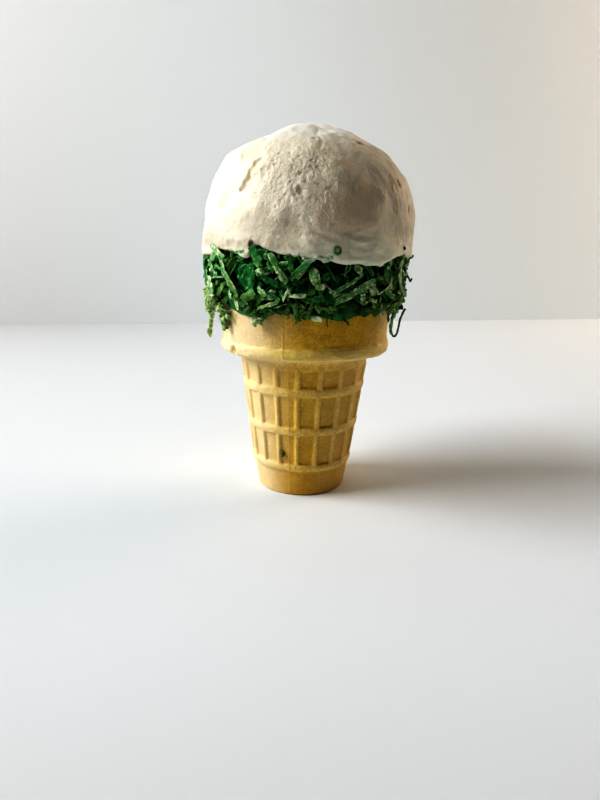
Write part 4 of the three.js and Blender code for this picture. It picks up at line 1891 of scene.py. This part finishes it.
@dataclass
class Trimmings:
    """Odd bits: strands that hang off the band, lumps of candy, icy bits and crumbs.

    A strand has its name, width, tint and corners. A drop has its name and its ball.
    """

    strands: tuple[tuple, ...] = (
        ("strand_blade", 1.15, 0.80, (
            (26.4, -13.2, 60.0), (25.9, -13.2, 57.2), (25.0, -13.1, 54.4), (24.8, -13.0, 51.8),
            (25.2, -13.0, 50.4))),
        ("strand_loop", 0.68, 0.52, (
            (24.9, -13.0, 51.6), (25.2, -13.0, 50.4), (26.0, -13.0, 49.7), (26.8, -13.0, 51.0),
            (27.2, -13.0, 53.9), (27.8, -13.0, 56.0), (28.7, -13.0, 57.7))),
        ("strand_leg", 1.5, 0.86, (
            (-26.4, -8.4, 59.5), (-27.0, -7.4, 56.5), (-27.6, -6.6, 53.0), (-28.2, -6.0, 49.2))),
        ("strand_curl", 0.6, 0.30, (
            (28.4, -6.0, 66.4), (29.2, -6.0, 65.8), (30.0, -6.0, 66.3), (30.5, -6.0, 65.4),
            (30.8, -6.0, 64.9), (31.2, -6.0, 65.8))),
        ("strand_sprig", 0.52, 0.46, (
            (28.0, -10.0, 70.2), (29.2, -10.0, 70.5), (29.5, -9.8, 71.6), (30.3, -9.4, 71.8),
            (30.6, -9.4, 72.5))),
    )
    ring: tuple[float, float, float] = (14.5, 31.3, 73.6)
    ring_radii: tuple[float, float] = (0.85, 0.3)
    drops: tuple[tuple, ...] = (
        ("candy_drop", (46.5, 58.2, 26.9, (2.1, 1.2, 1.4))),
        ("candy_fleck", (16.6, 66.7, 29.5, (0.75, 0.5, 1.2))),
    )
    patch: tuple[float, float, float] = (-31.0, 29.3, 66.4)
    patch_size: tuple[float, float] = (5.8, 7.4)
    patch_bend: float = -40.0
    smear: tuple[tuple[float, float, float], ...] = (
        (-1.0, 71.5, 0.55), (0.4, 71.0, 0.6), (2.0, 70.9, 0.65), (3.6, 71.3, 0.6), (5.2, 71.9, 0.6),
        (6.8, 71.7, 0.7), (8.4, 71.2, 0.75), (10.0, 71.3, 0.8), (11.4, 71.9, 0.9), (12.8, 72.6, 0.8),
    )
    bit: tuple[tuple[float, float, float], ...] = ((-10.3, 59.4, 1.0), (-10.1, 58.0, 1.1))
    ice_flatness: float = 0.55

    def build(self, shred: Material, candy: Material) -> None:
        """Models the trimmings.

        Args:
            shred: The coconut's material.
            candy: The candy's material.
        """
        self.build_strands(shred)
        self.build_drops(candy)
        self.build_ice()
        self.build_crumb(shred)

    def finish_shred(self, piece: Workpiece, tint: float, finish: Material) -> None:
        """Gives a piece the coconut's tint and hands it over.

        Args:
            piece: The piece.
            tint: Its tint, from dark at 0 to pale at 1.
            finish: The coconut's material.
        """
        piece.note("tint", tint)
        piece.note("olive", 1.0)
        piece.hand_over(finish, "coconut")

    def build_strands(self, finish: Material) -> None:
        """The looped strand at the right, the leg at the left, two curls and a ring.

        Args:
            finish: Their material.
        """
        for name, width, tint, corners in self.strands:
            strand = Workpiece.strand(name, corners, width)
            strand.refine()
            strand.press(None, Press(width * 0.5, 1.3))
            self.finish_shred(strand, tint, finish)
        azimuth, radius, height = self.ring
        clear_selection()
        bpy.ops.mesh.primitive_torus_add(
            location=on_ring(azimuth, radius, height),
            rotation=(math.pi / 2, 0.0, math.radians(azimuth)),
            major_radius=self.ring_radii[0], minor_radius=self.ring_radii[1],
            major_segments=28, minor_segments=10,
        )
        ring = Workpiece("shred_ring")
        ring.press(None, Press(0.4, 1.0))
        self.finish_shred(ring, 0.62, finish)

    def build_drops(self, finish: Material) -> None:
        """The dark drop and the bright fleck of candy at the right, and the patch at the left.

        Args:
            finish: Their material.
        """
        for name, ball in self.drops:
            drop = Workpiece.balls(name, [ball], 32, 20)
            drop.refine()
            drop.press(None, Press(0.5, 2.6))
            drop.hand_over(finish, "candy")
        self.build_patch(finish)

    def build_patch(self, finish: Material) -> None:
        """The broad leaf-like sheet of candy at the left of the front, its tip down to the right.

        Args:
            finish: Its material.
        """
        azimuth, radius, height = self.patch
        width, tall = self.patch_size
        patch = Workpiece.sheet("candy_patch", 10, 12)
        with patch.editing():
            select_mesh()
            bpy.ops.transform.resize(value=(width, 1.0, tall), center_override=(0, 0, 0))
            for low, share in ((-0.9, 0.84), (-2.1, 0.78), (-3.2, 0.5)):
                patch.shrink(lambda p: p.z < low, (share, 1, 1), (0.9, 0, 0))
            patch.shrink(lambda p: p.z > 3.0, (0.7, 1, 1), (-0.4, 0, 0))
            patch.fray(0.34, 4)
        patch.modify("SOLIDIFY", thickness=0.7, offset=0.0)
        bend = {"deform_method": "BEND", "deform_axis": "Z", "angle": math.radians(self.patch_bend)}
        patch.modify("SIMPLE_DEFORM", **bend)
        with patch.editing():
            select_mesh()
            turn = math.radians(-azimuth)
            bpy.ops.transform.rotate(value=turn, orient_axis="Z", center_override=(0, 0, 0))
            bpy.ops.transform.translate(value=on_ring(azimuth, radius, height))
        patch.refine()
        patch.press(None, Press(1.0, 2.2))
        patch.press(None, Press(0.6, 1.3, Grain.CREASES))
        patch.hand_over(finish, "candy")

    def build_ice(self) -> None:
        """The clear smear of ice under the skirt and a greyish bit lower down."""
        recipe = Recipe("clear_ice", Roughness=0.2, Transmission_Weight=0.1, IOR=1.31)
        cloudy = recipe.mottled(Mottle(0.9, 0.35, 0.65))
        recipe.feed("Base Color", recipe.mix(cloudy, (0.46, 0.56, 0.38), (0.84, 0.88, 0.74)))
        recipe.relief(recipe.noise(0.7), 0.25)
        for name, radius, spots in (("ice_smear", 30.7, self.smear), ("ice_bit", 27.4, self.bit)):
            balls = [(azimuth, height, radius, (size, size * self.ice_flatness, size))
                     for azimuth, height, size in spots]
            ice = Workpiece.balls(name, balls, 16, 10)
            ice.modify("REMESH", mode="VOXEL", voxel_size=0.25, adaptivity=0.0)
            ice.press(None, Press(0.35, 1.1))
            ice.hand_over(recipe.material, "ice_cream")

    def build_crumb(self, finish: Material) -> None:
        """The green crumb that stuck to the wafer and a dot of green on the skirt.

        Args:
            finish: The coconut's material, for the dot.
        """
        recipe = Recipe("dried_crumb", Roughness=0.6)
        mottle = recipe.mottled(Mottle(0.5, 0.4, 0.6))
        recipe.feed("Base Color", recipe.mix(mottle, (0.07, 0.09, 0.012), (0.20, 0.20, 0.04)))
        recipe.relief(recipe.noise(0.4), 0.2)
        for name, place, size, dress in (
            ("wafer_crumb", on_ring(-21.0, 15.9, 13.8), (0.6, 0.4, 1.0), recipe.material),
            ("skirt_crumb", on_ring(59.0, 31.2, 74.3), (0.42, 0.3, 0.5), finish),
        ):
            clear_selection()
            bpy.ops.mesh.primitive_ico_sphere_add(subdivisions=3, radius=1.0, location=place, scale=size)
            crumb = Workpiece(name)
            crumb.press(None, Press(0.3, 0.7))
            self.finish_shred(crumb, 0.2, dress)


# --- Studio ---

@dataclass(frozen=True)
class Studio:
    """A pale floor and wall painted with light and shade, soft light from the left, and the camera."""

    floor_painted_light: tuple[Colour, Colour] = ((0.540, 0.552, 0.560), (0.79, 0.84, 0.90))
    wall_painted_light: tuple[Colour, Colour] = ((0.70, 0.705, 0.70), (0.91, 0.95, 0.97))
    wall_glow: Colour = (0.016, 0.020, 0.024)
    lens: float = 27.0
    camera_away: float = 184.8
    camera_aside: float = -0.8
    camera_up: float = 76.0
    tilt_down: float = 14.92
    roll: float = 1.1
    wall_away: float = 391.0
    wall_yaw: float = 12.8
    aim: float = 55.0
    near_shade_grey: Colour = (0.5, 0.5, 0.5)
    room_colour: tuple[float, float, float, float] = (1.0, 0.86, 0.72, 1.0)
    room_strength: float = 0.01
    seen_colour: tuple[float, float, float, float] = (0.70, 0.70, 0.68, 1.0)

    def surface(
        self, name: str, size: float, place: Vector, turn: Sequence[float], finish: Material
    ) -> None:
        """Adds a flat surface that isn't part of the object.

        Args:
            name: Its name.
            size: Length of its sides, in millimetres.
            place: Its middle, in millimetres.
            turn: Its angles in degrees.
            finish: Its material.
        """
        clear_selection()
        bpy.ops.mesh.primitive_plane_add(
            size=size * MM, location=place * MM, rotation=[math.radians(a) for a in turn]
        )
        made = bpy.context.object
        made.name = name
        made.data.materials.append(finish)

    def light(
        self, name: str, direction: tuple[float, float], away: float, size: float, power: float,
        colour: Colour
    ) -> None:
        """Adds a square soft light that faces the object.

        Args:
            name: Its name.
            direction: Its azimuth and elevation, in degrees.
            away: Its distance, in millimetres.
            size: Its width, in millimetres.
            power: Its power in watts.
            colour: Its colour.
        """
        lamp = bpy.data.lights.new(name, "AREA")
        lamp.size = size * MM
        lamp.energy = power
        lamp.color = colour
        stand = bpy.data.objects.new(name, lamp)
        azimuth, elevation = direction
        up = math.radians(elevation)
        middle = Vector((0.0, 0.0, self.aim))
        spot = on_ring(azimuth, away * math.cos(up), away * math.sin(up)) + middle
        stand.location = spot * MM
        stand.rotation_euler = (middle - spot).to_track_quat("-Z", "Y").to_euler()
        bpy.context.scene.collection.objects.link(stand)

    def build(self) -> None:
        """Sets the stage, the lights, the camera and the contrast."""
        floor = self.painted("floor_painted_light", self.floor_painted_light, (-300.0, 120.0), dimmed=0.36)
        wall = self.painted("wall_painted_light", self.wall_painted_light, (-330.0, 30.0), self.wall_glow)
        self.surface("floor", 6000.0, Vector((0, 0, 0)), (0, 0, 0), floor)
        self.surface("wall", 2400.0, Vector((0, self.wall_away, 1200.0)), (90, 0, self.wall_yaw), wall)
        self.light("window", (-82.0, 36.0), 700.0, 420.0, 4.2, (1.0, 1.0, 0.99))
        self.light("bounce", (125.0, 25.0), 800.0, 500.0, 2.35, (1.0, 0.80, 0.60))
        self.light_room()
        self.set_camera()
        settings = bpy.context.scene.view_settings
        settings.view_transform = "Standard"
        settings.look = "Very High Contrast"

    def painted(
        self, name: str, paint: tuple[Colour, Colour], change: tuple[float, float],
        glow: Colour = (0, 0, 0), dimmed: float = 0.0
    ) -> Material:
        """A matt paint with painted light and shade.

        Args:
            name: The material's name.
            paint: Its colours at the left and at the right; the change between them is painted light and
                shade.
            change: Where the first one starts to give way and where the second one is reached, along X.
            glow: Painted light that it gives off at the right, for the daylight that reaches it there.
            dimmed: Share by which it is darker close to the camera, as painted shade.

        Returns:
            The material.
        """
        recipe = Recipe(name, Roughness=0.8, Emission_Strength=1.0)
        # Painted light and shade: the paint changes from left to right.
        right = recipe.along("X").step(*change)
        # Painted shade: darker close to the camera.
        dim = recipe.along("Y").step(-75.0, -150.0) * dimmed
        recipe.feed("Base Color", recipe.mix(dim, recipe.mix(right, *paint), self.near_shade_grey))
        # Painted light: a faint glow at the right.
        recipe.feed("Emission Color", recipe.mix(right, (0, 0, 0), glow))
        return recipe.material

    def light_room(self) -> None:
        """A dim warm room; the camera sees it as pale as the wall."""
        world = bpy.data.worlds.new("room")
        bpy.context.scene.world = world
        world.use_nodes = True
        tree = world.node_tree
        room = tree.nodes["Background"]
        room.inputs["Color"].default_value = self.room_colour
        room.inputs["Strength"].default_value = self.room_strength
        backdrop = tree.nodes.new("ShaderNodeBackground")
        backdrop.inputs["Color"].default_value = self.seen_colour
        choice = tree.nodes.new("ShaderNodeMixShader")
        rays = tree.nodes.new("ShaderNodeLightPath")
        tree.links.new(rays.outputs["Is Camera Ray"], choice.inputs[0])
        tree.links.new(room.outputs[0], choice.inputs[1])
        tree.links.new(backdrop.outputs[0], choice.inputs[2])
        tree.links.new(choice.outputs[0], tree.nodes["World Output"].inputs["Surface"])

    def set_camera(self) -> None:
        """Stands the camera in front of the object, looking slightly down."""
        lens = bpy.data.cameras.new("camera")
        lens.lens = self.lens
        lens.sensor_width = 36.0
        lens.clip_start = 0.01
        camera = bpy.data.objects.new("camera", lens)
        camera.location = Vector((self.camera_aside, -self.camera_away, self.camera_up)) * MM
        pitch = Matrix.Rotation(math.radians(90.0 - self.tilt_down), 3, "X")
        camera.rotation_euler = (pitch @ Matrix.Rotation(math.radians(self.roll), 3, "Z")).to_euler()
        bpy.context.scene.collection.objects.link(camera)
        bpy.context.scene.camera = camera


def main() -> None:
    """Builds every piece in order."""
    logging.basicConfig(level=logging.INFO, format="%(name)s: %(message)s")
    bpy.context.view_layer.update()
    Studio().build()
    cup = WaferCup()
    cup.build(WaferFinish().build(cup))
    candy = CandyFinish().build("green_candy")
    CandyCoat().build(candy)
    shred = ShredFinish().build()
    # The bed's candy is a darker copy: painted shade between the shreds, paler at the left as painted
    # light.
    bed_candy_painted_darker = CandyFinish((0.001, 0.014, 0.002), (0.004, 0.065, 0.008), (0.014, 0.13, 0.02))
    CoconutBand().build(bed_candy_painted_darker.build("coconut_bed", 0.45), shred)
    scoop = Scoop()
    cream = CreamFinish().build(scoop.on_dome(-6.0, 89.5), scoop.on_dome(20.0, 83.0), scoop.hole)
    scoop.build(cream)
    Trimmings().build(shred, candy)


if __name__ == "__main__":
    main()
